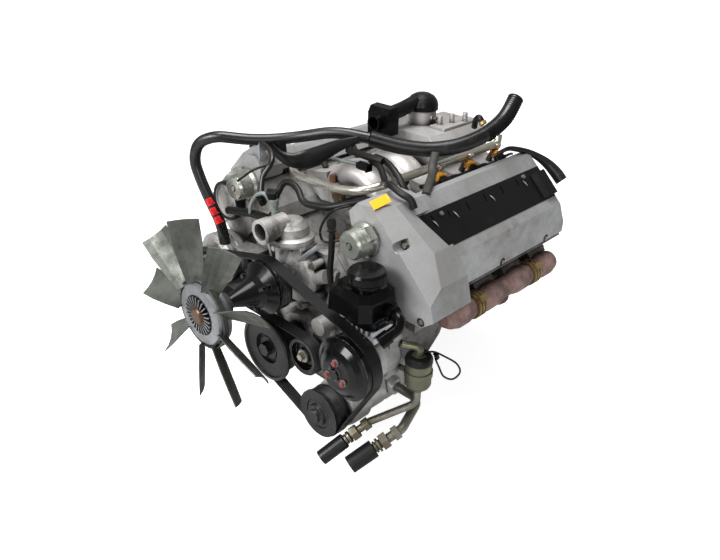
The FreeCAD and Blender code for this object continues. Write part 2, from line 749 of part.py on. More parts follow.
PANEL_ACROSS = (-60.0, 19.0)
PANEL_FRONT_Y = {1: (-497.0, -467.0), -1: (COVER_SPLIT_Y + 8, COVER_SPLIT_Y + 8)}
PANEL_REAR_Y = HEAD_REAR_Y - 30.0
PANEL_SLOTS = ((-440.0, -44.0), (-391.0, -40.0), (-330.0, -40.0), (-269.0, -42.0), (-208.0, -42.0),
    (-148.0, -44.0))
PANEL_BOLTS = ((-412.0, -48.0), (-120.0, -50.0))


def panel_outline(side, inset):
    """Plan of the lead panel; on the left bank its front edge slants over the timing cover."""
    inner, outer = PANEL_ACROSS
    front_in, front_out = PANEL_FRONT_Y[side]
    return [
        (inner + inset, PANEL_REAR_Y - inset), (inner + inset, front_in + inset),
        (outer - inset, front_out + inset), (outer - inset, PANEL_REAR_Y - inset),
    ]


def plate_h(outline, low, high):
    """Upright prism on the bank over a plan outline of (across, y)."""
    points = [vec(across, y, low) for across, y in outline]
    return Part.Face(Part.makePolygon(points + [points[0]])).extrude(vec(0, 0, high - low))


def panel_recess(side):
    return plate_h(panel_outline(side, 0), PANEL_H, COVER_H + TIMING_COVER_RISE + 10)


def cam_cover(side):
    rear = HEAD_REAR_Y + 2
    body = prism_y(cover_section(0, COVER_H), COVER_SPLIT_Y, rear)
    chamfer = Part.Face(Part.makePolygon([
        vec(-150, rear - 34, COVER_TOP_H + 4), vec(-150, rear + 5, COVER_TOP_H + 4),
        vec(-150, rear + 5, COVER_TOP_H - 46), vec(-150, rear - 34, COVER_TOP_H + 4),
    ])).extrude(vec(300, 0, 0))
    body = body.cut(chamfer)
    inner = prism_y(cover_section(5, COVER_H - 1), COVER_SPLIT_Y + 6, rear - 20)
    for y in FLANK_BOLT_Y:
        inner = inner.cut(Part.makeCylinder(14, 34, vec(78, y, COVER_H - 1), FLANK_WAY))
    body = body.cut(inner)
    body = body.cut(panel_recess(side))
    for y in FLANK_BOLT_Y:
        pocket = Part.makeCylinder(9, 40, vec(88, y, COVER_H + 8), FLANK_WAY)
        body = body.cut(pocket)
    return on_bank(body.removeSplitter(), side)


def lead_cover(side):
    plate = plate_h(panel_outline(side, CLEAR), PANEL_H, PANEL_TOP_H)
    for y, across in PANEL_SLOTS:
        plate = plate.cut(block_between((across - 9, y - 2, PANEL_H - 1),
            (across + 9, y + 2, PANEL_TOP_H + 1)))
    rear = PANEL_REAR_Y - CLEAR
    duct = prism_x([(rear - 42, PANEL_TOP_H), (rear, PANEL_TOP_H), (rear - 2, PANEL_TOP_H + 11.5),
                    (rear - 34, PANEL_TOP_H + 11.5)], -46, 15)
    return on_bank(plate.fuse(duct), side)


def front_cover_section(inset, low, top):
    """Outline of the timing cover seen from the front of the bank."""
    return [
        (104 - inset, low),
        (128 - inset, low + 24 + inset * 0.4),
        (132 - inset, top - 36 - inset * 0.3),
        (84 - inset * 0.6, top - 8 - inset),
        (20, top - inset),
        (-92 + inset * 0.4, top - 6 - inset),
        (-134 + inset, top - 46),
        (-134 + inset, low + 14 + inset * 0.4),
        (-112 + inset, low),
    ]


FILLER_SIDE = -1
FILLER_ACROSS = -60.0
FILLER_Y = -482.0
FILLER_R = 24.0
TIMING_HOLLOW_Y = -505.0


def timing_cover(side):
    """Raised cast cover over the cam wheels; its crown slopes down to the front ridge."""
    front = HEAD_FRONT_Y - 10
    rear = COVER_SPLIT_Y
    low = COVER_H
    top = low + TIMING_COVER_RISE
    ridge = low + TIMING_RIDGE_RISE
    slope_end = front + 62
    body = prism_y(front_cover_section(0, low, top), front, rear)
    slope = prism_x([(front - 1, ridge), (slope_end, top + 1), (slope_end, top + 60),
        (front - 1, top + 60)], -200, 200)
    body = body.cut(slope)
    inner = prism_y(front_cover_section(8, low - 1, ridge - 4), front + 9, TIMING_HOLLOW_Y)
    under_panel = block_between((-120, TIMING_HOLLOW_Y - 1, low - 1), (116, rear - 6, PANEL_H - 8))
    body = body.cut(inner.fuse(under_panel))
    body = body.cut(rod((-20, front - 4, ridge + 2), (-20, front + 30, ridge + 2), 11))
    body = body.cut(rod((118, front - 6, low + 30), (118, front + 8, low + 30), 9))
    if side != FILLER_SIDE:
        body = body.cut(panel_recess(side))
    else:
        body = body.fuse(turned_z(FILLER_ACROSS, FILLER_Y,
            [(0, top - 9), (FILLER_R, top - 9), (FILLER_R, top), (0, top)]))
    return on_bank(body, side)


ADJUSTER_ACROSS = -70.0
ADJUSTER_R = 29.0


def cam_adjuster(side):
    front = HEAD_FRONT_Y - 10
    x = ADJUSTER_ACROSS
    z = ADJUSTER_H
    can = turned_y(x, z, [
        (0, front), (ADJUSTER_R + 7, front), (ADJUSTER_R + 7, front - 6), (ADJUSTER_R, front - 10),
        (ADJUSTER_R, front - 40), (ADJUSTER_R - 4, front - 45), (8, front - 45), (8, front - 42),
        (5, front - 42), (5, front - 47), (0, front - 47),
    ])
    socket = block_between((x - 14, front - 26, z + ADJUSTER_R - 4),
        (x + 14, front - 8, z + ADJUSTER_R + 12))
    return on_bank(can.fuse(socket), side)


def cover_bolts():
    pieces = []
    for side in (1, -1):
        for y in FLANK_BOLT_Y:
            bolt = hex_bolt((88, y, COVER_H + 8), tuple(FLANK_WAY), 10, 8)
            pieces.append(on_bank(bolt, side))
        front = HEAD_FRONT_Y - 10
        pieces.append(on_bank(hex_bolt((-20, front + 30, COVER_H + 72), (0, -1, 0), 10, 8), side))
        pieces.append(on_bank(hex_bolt((118, front + 8, COVER_H + 30), (0, -1, 0), 10, 8), side))
        for y, across in PANEL_BOLTS:
            pieces.append(on_bank(hex_bolt((across, y, PANEL_TOP_H), (0, 0, 1), 9, 4), side))
    return group(pieces)


# Belt drive

def groove_profile(radius, y_front, y_rear):
    """Points across the ribbed face of a pulley, front to rear."""
    pitch = (BELT_WIDTH - 2) / BELT_RIBS
    start = BELT_Y - BELT_RIBS * pitch / 2
    points = [(radius, BELT_FRONT_Y - 0.7)]
    for i in range(BELT_RIBS):
        y = start + i * pitch
        points.append((radius, y + 0.2))
        points.append((radius - RIB_DEPTH, y + pitch / 2))
    points.append((radius, start + BELT_RIBS * pitch - 0.2))
    return [p for p in points if y_front < p[1] < y_rear]


def belt_stops():
    """Pulleys in the order in which the belt meets them, anticlockwise from the front."""
    offset = CLEAR / 2 + BELT_THICKNESS / 2
    return [
        (STEERING_X, STEERING_Z, STEERING_PULLEY_R + offset, 1),
        (PUMP_X, PUMP_Z, PUMP_PULLEY_R + offset, 1),
        (ALTERNATOR_X, ALTERNATOR_Z, ALTERNATOR_PULLEY_R + offset, 1),
        (ROLLER_X, ROLLER_Z, ROLLER_R + offset, -1),
        (0.0, 0.0, CRANK_PULLEY_R + offset, 1),
        (COMPRESSOR_X, COMPRESSOR_Z, COMPRESSOR_PULLEY_R + offset, 1),
    ]


def drive_belt():
    """Belt of one ribbed section round the pulleys; its ribs point inwards."""
    half = BELT_THICKNESS / 2
    pitch = (BELT_WIDTH - 2) / BELT_RIBS
    start_y = BELT_Y - BELT_RIBS * pitch / 2
    section = [(-half, BELT_FRONT_Y), (half - RIB_DEPTH, BELT_FRONT_Y)]
    for i in range(BELT_RIBS):
        section.append((half - RIB_DEPTH, start_y + i * pitch + 0.4))
        section.append((half, start_y + (i + 0.5) * pitch))
    section.append((half - RIB_DEPTH, start_y + BELT_RIBS * pitch - 0.4))
    section += [(half - RIB_DEPTH, BELT_REAR_Y), (-half, BELT_REAR_Y)]
    return swept_loop(belt_stops(), section)


def crank_damper():
    front = -676.0
    body = turned_y(0, 0, [
        (SNOUT_R, -560), (30, -560), (30, -600), (44, -628), (CRANK_PULLEY_R - 2, -634),
        (CRANK_PULLEY_R, BELT_REAR_Y + 1)] + list(reversed(groove_profile(CRANK_PULLEY_R, front, -640))) + [
        (CRANK_RIM_R, BELT_FRONT_Y - 1), (CRANK_RIM_R, front), (CRANK_RIM_R - 7, front - 1.5),
        (CRANK_RIM_R - 9, front + 3), (36, front + 3), (34, front + 12), (SNOUT_R, front + 12),
    ])
    return body


def crank_bolt():
    washer = disc_y(0, 0, -668, -664, 26)
    return washer.fuse(hex_bolt((0, -668, 0), (0, -1, 0), 27, 14))


def pump_pulley():
    x = PUMP_X
    z = PUMP_Z
    r = PUMP_PULLEY_R
    body = turned_y(x, z, [
        (0, -760), (12, -760), (27, -712), (30, -704), (38, -692), (49, -683), (r + 2, -676),
        (r + 2, BELT_FRONT_Y - 1)] + groove_profile(r, RIM_FRONT_Y, RIM_REAR_Y) + [
        (r, -640), (r - 5, -640), (r - 6, -672), (30, -684), (PUMP_SHAFT_R, -686), (PUMP_SHAFT_R, -592),
        (0, -592),
    ])
    shaft = disc_y(x, z, CLUTCH_BORE_END_Y + 5, -758, CLUTCH_BORE_R)
    bolts = []
    for degrees in (30, 150, 270):
        bx, bz = polar(x, z, 42, degrees)
        bolts.append(disc_y(bx, bz, -694, -684, 6.5).fuse(hex_bolt((bx, -694, bz), (0, -1, 0), 9, 4)))
    solid = body.fuse(shaft)
    for bolt in bolts:
        solid = solid.fuse(bolt)
    return solid.removeSplitter()


def fan_clutch():
    x = PUMP_X
    z = PUMP_Z
    body = turned_y(x, z, [
        (CLUTCH_BORE_R + RUN_GAP, CLUTCH_REAR_Y), (22, CLUTCH_REAR_Y), (26, CLUTCH_REAR_Y - 8),
        (50, CLUTCH_REAR_Y - 26), (CLUTCH_R, CLUTCH_REAR_Y - 36), (CLUTCH_R, -822), (CLUTCH_R - 4, -828),
        (42, -830), (39, -825), (20, -823), (17, CLUTCH_FRONT_Y + 3), (14, CLUTCH_FRONT_Y),
        (0, CLUTCH_FRONT_Y),
        (0, CLUTCH_BORE_END_Y), (CLUTCH_BORE_R + RUN_GAP, CLUTCH_BORE_END_Y),
    ])
    fins = []
    for i in range(24):
        fin = block_between((x + 17, -834, z - 1.2), (x + 40, -820, z + 1.2))
        fin.rotate(vec(x, 0, z), AXIS_Y, i * 15)
        fins.append(fin)
    for fin in fins:
        body = body.fuse(fin)
    return body.removeSplitter()


def fan_blade():
    """One twisted blade, lofted from root to tip through curved sections."""
    wires = []
    stations = ((FAN_HUB_R - 8, 34.0, 52.0), (110.0, 48.0, 47.0), (150.0, 58.0, 43.0),
        (FAN_TIP_R, 62.0, 40.0))
    for radius, chord, pitch in stations:
        camber = chord * 0.10
        a = math.radians(pitch)
        upper = []
        lower = []
        for k in range(5):
            along = (k / 4 - 0.5) * chord
            rise = camber * (1 - (2 * along / chord) ** 2)
            for thick, side in ((FAN_BLADE_THICKNESS / 2, upper), (-FAN_BLADE_THICKNESS / 2, lower)):
                depth = rise + thick
                across = along * math.cos(a) - depth * math.sin(a)
                y = along * math.sin(a) + depth * math.cos(a)
                side.append(vec(PUMP_X + across, FAN_Y + y, PUMP_Z + radius))
        loop = upper + list(reversed(lower))
        wires.append(Part.makePolygon(loop + [loop[0]]))
    return Part.makeLoft(wires, True, True)


def fan_blades():
    ring = ring_y(PUMP_X, PUMP_Z, -818, -813, FAN_HUB_R, CLUTCH_R + CLEAR)
    lip = ring_y(PUMP_X, PUMP_Z, -824, -813, FAN_HUB_R, FAN_HUB_R - 3)
    hub = ring.fuse(lip)
    blade = fan_blade()
    for i in range(FAN_BLADES):
        copy = blade.copy()
        copy.rotate(vec(PUMP_X, 0, PUMP_Z), AXIS_Y, i * 360 / FAN_BLADES + FAN_FIRST_BLADE)
        hub = hub.fuse(copy)
    hub = hub.cut(disc_y(PUMP_X, PUMP_Z, -900, -780, CLUTCH_R + CLEAR))
    return hub.removeSplitter()


STEERING_SHAFT_R = 9.0


def steering_pulley():
    x = STEERING_X
    z = STEERING_Z
    r = STEERING_PULLEY_R
    body = turned_y(x, z, [
        (0, -708), (11, -708), (13, -702), (20, -700), (36, -699), (48, -694), (58, -685), (r + 3, -681),
        (r + 3, BELT_FRONT_Y - 1)] + groove_profile(r, RIM_FRONT_Y, RIM_REAR_Y) + [
        (r, -641), (r - 5, -641), (r - 6, -676), (40, -688), (STEERING_SHAFT_R, -690),
        (STEERING_SHAFT_R, -600), (0, -600),
    ])
    for degrees in (90, 210, 330):
        bx, bz = polar(x, z, 24, degrees)
        body = body.fuse(disc_y(bx, bz, -702, -694, 7.5)).fuse(hex_bolt((bx, -702, bz), (0, -1, 0), 10, 5))
    return body.removeSplitter()


def steering_pump():
    x = STEERING_X
    z = STEERING_Z
    body = turned_y(x, z, [
        (0, -640), (26, -640), (30, -628), (46, -622), (50, -610), (50, -572), (44, -562), (0, -561),
    ])
    body = body.cut(disc_y(x, z, BORE_START_Y, -595, STEERING_SHAFT_R + RUN_GAP))
    ear = block_between((x - 62, -624, z - 14), (x - 30, -600, z + 14))
    return body.fuse(ear.cut(disc_y(x, z, BORE_START_Y, -500, 40))).removeSplitter()


def finned_bracket():
    """Light alloy bracket with upright fins, which carries the fluid reservoir."""
    body = block_between((196, -638, 126), (284, -576, RESERVOIR_BOTTOM - 12))
    pitch = 14.0
    for i in range(7):
        x = 197.0 + pitch * i - i
        body = body.fuse(block_between((x, -638, RESERVOIR_BOTTOM - 13), (x + 5, -576, RESERVOIR_BOTTOM)))
    return body.removeSplitter()


RESERVOIR_BOTTOM = 150.0
RESERVOIR_TOP = 238.0
RESERVOIR_X = 240.0
RESERVOIR_Y = -626.0
CAP_X = 258.0
CAP_Y = -632.0


def steering_reservoir():
    """Faceted moulded bottle: waist at the bottom, widest at the shoulder, bevelled top."""
    def ring(points, z):
        loop = [vec(x, y, z) for x, y in points]
        return Part.makePolygon(loop + [loop[0]])

    cx = RESERVOIR_X
    cy = RESERVOIR_Y

    def scaled(factor_x, factor_y):
        half_x = 58.0 * factor_x
        half_y = 50.0 * factor_y
        cut = 18.0 * factor_x
        return [
            (cx - half_x, cy - half_y + cut), (cx - half_x + cut, cy - half_y),
            (cx + half_x - cut, cy - half_y),
            (cx + half_x, cy - half_y + cut), (cx + half_x, cy + half_y - cut),
            (cx + half_x - cut, cy + half_y),
            (cx - half_x + cut, cy + half_y), (cx - half_x, cy + half_y - cut),
        ]

    foot = Part.makeLoft([ring(scaled(0.66, 0.28), RESERVOIR_BOTTOM), ring(scaled(0.72, 0.32), 166)],
        True, True)
    lower = Part.makeLoft([ring(scaled(0.72, 0.32), 166), ring(scaled(1.0, 1.0), 188)], True, True)
    middle = Part.makeLoft([ring(scaled(1.0, 1.0), 188), ring(scaled(0.95, 0.95), 224)], True, True)
    upper = Part.makeLoft([ring(scaled(0.95, 0.95), 224), ring(scaled(0.72, 0.72), RESERVOIR_TOP)], True,
        True)
    neck = turned_z(CAP_X, CAP_Y, [(0, 236), (22, 236), (22, 254), (0, 254)])
    return fuse([foot, lower, middle, upper, neck])


def reservoir_elbow():
    """Moulded elbow and short hose at the side of the reservoir."""
    start = (RESERVOIR_X + 58.4, -612.0, 192.0)
    body = pipe([start, (324, -612, 192), (330, -624, 178), (322, -650, 164)], 11, 12)
    collar = rod(start, (start[0] + 12, start[1], start[2]), 17)
    end = rod((325, -642, 168.4), (319, -660, 158.8), 14)
    return fuse([body, collar, end])


def reservoir_cap():
    return turned_z(CAP_X, CAP_Y, [
        (0, 254.3), (22.3, 254.3), (22.3, 246), (27, 246), (27, 254), (35, 254), (37, 257), (37, 270),
        (33, 275),
        (0, 276),
    ])


def compressor():
    x = COMPRESSOR_X
    z = COMPRESSOR_Z
    body = turned_y(x, z, [
        (0, -640), (34, -640), (38, -630), (54, -624), (57, -612), (57, -574), (50, -566), (50, -520),
        (47, -516),
        (47, -508), (50, -504), (50, -450), (42, -438), (0, -434),
    ])
    body = body.cut(disc_y(x, z, BORE_START_Y, -600, 8 + RUN_GAP))
    port = rod((x + 30, -500, z + 10), (x + 62, -500, z + 10), 19)
    lug = block_between((x - 19, -610, z + 40), (x + 19, -580, z + 76))
    foot = block_between((x - 19, -534, z + 36), (x + 19, -504, z + 76))
    return fuse([body, port, lug, foot])


def compressor_pulley():
    x = COMPRESSOR_X
    z = COMPRESSOR_Z
    r = COMPRESSOR_PULLEY_R
    return turned_y(x, z, [
        (34.5, -676), (r + 3, -676), (r + 3, BELT_FRONT_Y - 1)] + groove_profile(r, RIM_FRONT_Y,
        RIM_REAR_Y) + [
        (r + 1, BELT_REAR_Y + 1), (r + 1, -641), (20, -641), (20, -660), (34.5, -662),
    ])


def compressor_clutch():
    x = COMPRESSOR_X
    z = COMPRESSOR_Z
    return turned_y(x, z, [
        (0, -690), (13, -690), (15, -684), (22, -684), (26, -676), (34, -674), (34, -664), (19, -662),
        (8, -661), (8, -604), (0, -604),
    ])


def tensioner_arm():
    x = ROLLER_X
    z = ROLLER_Z
    boss = disc_y(x, z, -640, -612, 18)
    spindle = disc_y(x, z, -664, -638, 9)
    arm = prism_y([(x - 16, z - 6), (x + 14, z - 12), (x + 30, z + 62), (x + 4, z + 74)], -632, -614)
    pivot = disc_y(x + 18, z + 66, -640, -582, 19)
    return fuse([boss, spindle, arm, pivot])


def tensioner_roller():
    x = ROLLER_X
    z = ROLLER_Z
    r = ROLLER_R
    return turned_y(x, z, [
        (9 + RUN_GAP, -664), (16, -664), (18, -660), (30, -658), (32, -669), (r, -670), (r, -642),
        (r - 6, -642), (r - 7, -648), (17, -652), (15, -642), (9 + RUN_GAP, -642),
    ])


def roller_bolt():
    return disc_y(ROLLER_X, ROLLER_Z, -667, -664.3,
        14).fuse(hex_bolt((ROLLER_X, -667, ROLLER_Z), (0, -1, 0), 14, 9))


def alternator():
    x = ALTERNATOR_X
    z = ALTERNATOR_Z
    body = turned_y(x, z, [
        (0, -640), (20, -640), (24, -634), (52, -628), (62, -618), (62, -606), (60, -604), (60, -592),
        (62, -590), (62, -576), (54, -564), (0, -562),
    ])
    body = body.cut(disc_y(x, z, BORE_START_Y, -600, 8 + RUN_GAP))
    foot = prism_y([(x + 20, z - 50), (x + 34, z - 56), (x + 104, z - 88), (x + 108, z - 68),
        (x + 44, z - 34)], -600, -560)
    ear = prism_y([(x + 40, z + 40), (x + 50, z + 26), (x + 120, z + 30), (x + 120, z + 46)], -600, -560)
    return fuse([body, foot, ear])


def alternator_pulley():
    x = ALTERNATOR_X
    z = ALTERNATOR_Z
    r = ALTERNATOR_PULLEY_R
    return turned_y(x, z, [
        (0, -680), (10, -680), (12, -674), (r + 2, -674), (r + 2, BELT_FRONT_Y - 1)]
        + groove_profile(r, RIM_FRONT_Y, RIM_REAR_Y) + [(r + 1, -641), (8, -641), (8, -604), (0, -604)])


def accessory_bracket():
    """Ribbed casting on the left front of the block that carries pump, tensioner and compressor."""
    outline = [
        (138, -6), (190, -6), (206, 8), (280, 24), (290, 60), (288, 110), (280, 126), (196, 126),
        (150, 116),
        (134, 108), (134, 60), (146, 40),
    ]
    body = prism_y(outline, -596, CASE_FRONT_Y)
    body = body.cut(disc_y(STEERING_X, STEERING_Z, BORE_START_Y, -500, 50 + CLEAR))
    body = body.cut(disc_y(ROLLER_X + 18, ROLLER_Z + 66, BORE_START_Y, -582, 19 + CLEAR))
    lower = block_between((COMPRESSOR_X - 24, -612, COMPRESSOR_Z + 76),
        (COMPRESSOR_X + 24, -500, COMPRESSOR_Z + 84))
    return body.fuse(lower).removeSplitter()


def front_strut():
    """Flat stay from the water pump up to the left head."""
    return rod((-18, -600, 158), (80, -590, 244), 5)


# Intake

def runner(y):
    """One arched intake casting: an oval section carried round a half circle across the valley."""
    cx = RUNNER_CENTRE_X
    cz = RUNNER_CENTRE_Z
    section = Part.Ellipse(vec(cx + RUNNER_BEND_R, y, cz), RUNNER_HALF_WIDTH, RUNNER_HALF_HEIGHT)
    edge = section.toShape()
    face = Part.Face(Part.Wire([edge]))
    face.rotate(vec(cx + RUNNER_BEND_R, y, cz), vec(0, 0, 1), 90)
    return face.revolve(vec(cx, y, cz), vec(0, -1, 0), 180)


def intake_manifold():
    """Four arches over the valley, their ports on the heads' inner faces, and the rear chamber."""
    pieces = []
    crown_h = INTAKE_FOOT_H + INTAKE_FACE_HEIGHT
    foot = bank_point(-HEAD_HALF_WIDTH, 0, INTAKE_FOOT_H, 1)
    crown = bank_point(-HEAD_HALF_WIDTH, 0, crown_h, 1)
    back = bank_point(-HEAD_HALF_WIDTH - 14, 0, crown_h, 1)
    port = [(54, 250), (96, 246), (foot[0], foot[2]), (crown[0], crown[2]), (back[0], back[2]), (80, 316)]
    for y in CYLINDER_Y:
        middle = y + BANK_STAGGER / 2
        pieces.append(runner(middle))
        right_port = prism_y(port, middle - 33, middle + 33)
        pieces.append(right_port)
        pieces.append(right_port.mirror(vec(0, 0, 0), vec(1, 0, 0)))
    rim_foot = bank_point(-HEAD_HALF_WIDTH - 7, 0, INTAKE_FOOT_H, 1)
    rim_crown = bank_point(-HEAD_HALF_WIDTH - 7, 0, crown_h, 1)
    rim = [(foot[0], foot[2]), (crown[0], crown[2]), (rim_crown[0], rim_crown[2]),
        (rim_foot[0], rim_foot[2])]
    flange = prism_y(rim, CYLINDER_Y[3] - 22, CYLINDER_Y[0] + 46)
    pieces.append(flange)
    pieces.append(flange.mirror(vec(0, 0, 0), vec(1, 0, 0)))
    plenum = prism_y([
        (-62, 322), (70, 322), (86, 340), (86, 372), (62, 390), (-52, 390), (-70, 372), (-70, 340)
    ], PLENUM_FRONT_Y, PLENUM_REAR_Y)
    pieces.append(plenum)
    plate = block_between((16, PLENUM_FRONT_Y + 60, 388), (60, PLENUM_REAR_Y - 8, 396))
    pieces.append(plate)
    for x, y in ((26, -150), (36, -118), (50, -86)):
        pieces.append(Part.makeCylinder(6, 22, vec(x, y, 394)))
    body = fuse(pieces)
    well = Part.makeCylinder(THROTTLE_BORE_R + 1, 16, vec(THROTTLE_X, THROTTLE_Y, PLENUM_TOP - 14))
    return body.cut(well)


PLENUM_TOP = 390.0
THROTTLE_X = -30.0
THROTTLE_Y = -150.0
THROTTLE_HEIGHT = 32.0
THROTTLE_PLATE_Z = PLENUM_TOP + 16.0
SPINDLE_R = 4.0


def throttle_body():
    bottom = PLENUM_TOP
    top = bottom + THROTTLE_HEIGHT
    drum = Part.makeCylinder(THROTTLE_BORE_R + 6, THROTTLE_HEIGHT, vec(THROTTLE_X, THROTTLE_Y, bottom))
    reach = THROTTLE_BORE_R + 9
    bosses = rod((THROTTLE_X - reach, THROTTLE_Y, THROTTLE_PLATE_Z),
        (THROTTLE_X + reach, THROTTLE_Y, THROTTLE_PLATE_Z), 9)
    body = drum.fuse(bosses)
    body = body.cut(Part.makeCylinder(THROTTLE_BORE_R, THROTTLE_HEIGHT + 2,
        vec(THROTTLE_X, THROTTLE_Y, bottom - 1)))
    spindle = rod((THROTTLE_X - 60, THROTTLE_Y, THROTTLE_PLATE_Z),
        (THROTTLE_X + 60, THROTTLE_Y, THROTTLE_PLATE_Z),
                  SPINDLE_R + RUN_GAP)
    return body.cut(spindle)


def throttle_plate():
    plate = Part.makeCylinder(THROTTLE_BORE_R - CLEAR, 2.4,
        vec(THROTTLE_X, THROTTLE_Y, THROTTLE_PLATE_Z - 1.2))
    spindle = rod((THROTTLE_X - 52, THROTTLE_Y, THROTTLE_PLATE_Z),
        (THROTTLE_X + 45, THROTTLE_Y, THROTTLE_PLATE_Z),
                  SPINDLE_R)
    lever = prism_x([(-5, -5), (5, -5), (5, 5), (16, 18), (8, 20), (-5, 5)], THROTTLE_X - 52,
        THROTTLE_X - 47)
    lever.translate(vec(0, THROTTLE_Y, THROTTLE_PLATE_Z))
    return fuse([plate, spindle, lever])


def air_intake():
    """Moulded rubber hood over the throttle with its duct forward to the air meter."""
    top = PLENUM_TOP + THROTTLE_HEIGHT
    hood = turned_z(THROTTLE_X, THROTTLE_Y, [
        (0, top), (38, top), (38, top + 10), (35, top + 21), (28, top + 30), (17, top + 36), (0, top + 38)
    ])
    hollow = turned_z(THROTTLE_X, THROTTLE_Y, [
        (0, top - 1), (31, top - 1), (31, top + 12), (23, top + 26), (0, top + 32)
    ])
    duct = pipe([(THROTTLE_X - 2, THROTTLE_Y - 24, top + 19), (-36, -214, top + 9), (-36, -275, 426)], 17)
    return hood.fuse(duct).cut(hollow)


def air_meter():
    """Boxy moulded housing of the air meter, with chamfered shoulders and a stub to the front."""
    body = prism_x([
        (-300, 388), (-262, 388), (-262, 444), (-270, 452), (-292, 450), (-300, 436)
    ], -64, -4)
    stub = rod((-34, -299, 418), (-34, -314, 418), 18)
    body = fuse([body, stub])
    return body.cut(rod((-34, -315, 418), (-34, -285, 418), 14))


RAIL_R = 9.0
RAIL_Z = {1: 353.0, -1: 344.0}
RAIL_X = {1: 130.0, -1: -134.0}


def fuel_rail():
    """Pipe along the left bank, round the front of the intake and back on the right bank."""
    return pipe([
        (126, -52, 372), (RAIL_X[1], -60, RAIL_Z[1]), (RAIL_X[1], -446, RAIL_Z[1]), (104, -492, 343),
        (50, -500, 334), (-20, -503, 331), (-90, -500, 330), (-126, -476, 334),
        (RAIL_X[-1], -420, RAIL_Z[-1]),
        (RAIL_X[-1], -60, RAIL_Z[-1]),
    ], RAIL_R)


def injectors():
    pieces = []
    for y in CYLINDER_Y:
        for side in (1, -1):
            middle = y + BANK_STAGGER / 2
            foot = (side * 114, middle, 311.4)
            head = (RAIL_X[side], middle, RAIL_Z[side] - RAIL_R + 0.6)
            pieces.append(rod(foot, head, 7))
    return group(pieces)


LOG_STANDOFF = 39.0
LOG_ABOVE_PORT = 12.0
LOG_ACROSS = HEAD_HALF_WIDTH + LOG_STANDOFF
LOG_H = PORT_H + LOG_ABOVE_PORT
LOG_R = 26.0


def exhaust_manifold(side):
    """Cast log with a branch from each port, swollen where the branches join."""
    front = CYLINDER_Y[3] - 34
    rear = CYLINDER_Y[0] + 34
    x = LOG_ACROSS
    z = LOG_H
    profile = [(0, front - 16), (14, front - 14), (LOG_R - 3, front)]
    for y in reversed(CYLINDER_Y):
        profile += [(LOG_R + 3, y - 14), (LOG_R + 3, y + 14)]
        if y != CYLINDER_Y[0]:
            profile += [(LOG_R - 2, y + 40), (LOG_R - 2, y + 66)]
    profile += [(LOG_R - 2, rear), (0, rear)]
    log = turned_y(x, z, profile)
    pieces = [log]
    face = HEAD_HALF_WIDTH + 8
    for y in CYLINDER_Y:
        pieces.append(rod((face + 7, y, PORT_H), (x, y, z - 4), 22))
        pieces.append(block_between((face, y - 33, PORT_H - 22), (face + 7, y + 33, PORT_H + 22)))
    outlet_y = CYLINDER_Y[0] - 8
    pieces.append(pipe([(x, outlet_y, z), (x + 8, outlet_y, z - 70), (x + 2, outlet_y, z - 150)], 24, 60))
    pieces.append(rod((x + 2, outlet_y, z - 147), (x + 1.6, outlet_y, z - 157), 38))
    body = fuse(pieces)
    return on_bank(body, side)


def exhaust_clamps():
    pieces = []
    for side in (1, -1):
        for y in (CYLINDER_Y[3] + 53, CYLINDER_Y[0] - 53):
            band = ring_y(LOG_ACROSS, LOG_H, y - 12, y + 12, LOG_R + 2, LOG_R - 2 + 0.05)
            for dy in (-10.0, 0.0, 10.0):
                band = band.fuse(ring_y(LOG_ACROSS, LOG_H, y + dy - 2, y + dy + 2, LOG_R + 4, LOG_R))
            ear = block_between((LOG_ACROSS - 8, y - 11, LOG_H + LOG_R),
                (LOG_ACROSS + 6, y + 11, LOG_H + LOG_R + 13))
            band = band.fuse(ear)
            pieces.append(on_bank(band, side))
    return group(pieces)


# Refrigerant circuit on the left front

RECEIVER_X = 320.0
RECEIVER_Y = -545.0
RECEIVER_R = 27.0


def receiver():
    drum = turned_z(RECEIVER_X, RECEIVER_Y, [
        (0, -6), (12, -6), (14, 2), (RECEIVER_R - 3, 6), (RECEIVER_R, 12), (RECEIVER_R, 62),
        (RECEIVER_R - 4, 68),
        (14, 70), (14, 78), (0, 78),
    ])
    arm = pipe([(RECEIVER_X, RECEIVER_Y, 72), (RECEIVER_X, RECEIVER_Y, 96), (292, -566, 100)], 8, 10)
    band = turned_z(RECEIVER_X, RECEIVER_Y, [(0, 32), (RECEIVER_R + 2, 32), (RECEIVER_R + 2, 44), (0, 44)])
    tab = block_between((262, CASE_FRONT_Y, 32), (300, CASE_FRONT_Y + 4, 44))
    return fuse([drum, arm, band, tab])


PIPE_CAP_LENGTH = 60.0
PIPE_STUB_LENGTH = 40.0
SUCTION_R = 10.0
LIQUID_R = 8.0


def suction_route():
    port_x = COMPRESSOR_X + 62
    port_z = COMPRESSOR_Z + 10
    return [(port_x, -500, port_z), (port_x + 62, -500, port_z), (308, -572, -98), (262, -678, -158)]


def liquid_route():
    return [
        (RECEIVER_X, RECEIVER_Y, -6), (RECEIVER_X, RECEIVER_Y, -40), (260, -620, -80), (214, -712, -148)
    ]


def union_points(route):
    """Where the rubber cap's mouth lies on the last run, with the run's direction."""
    start = vec(*route[-2])
    end = vec(*route[-1])
    way = end - start
    way.normalize()
    return end - way * PIPE_CAP_LENGTH, way


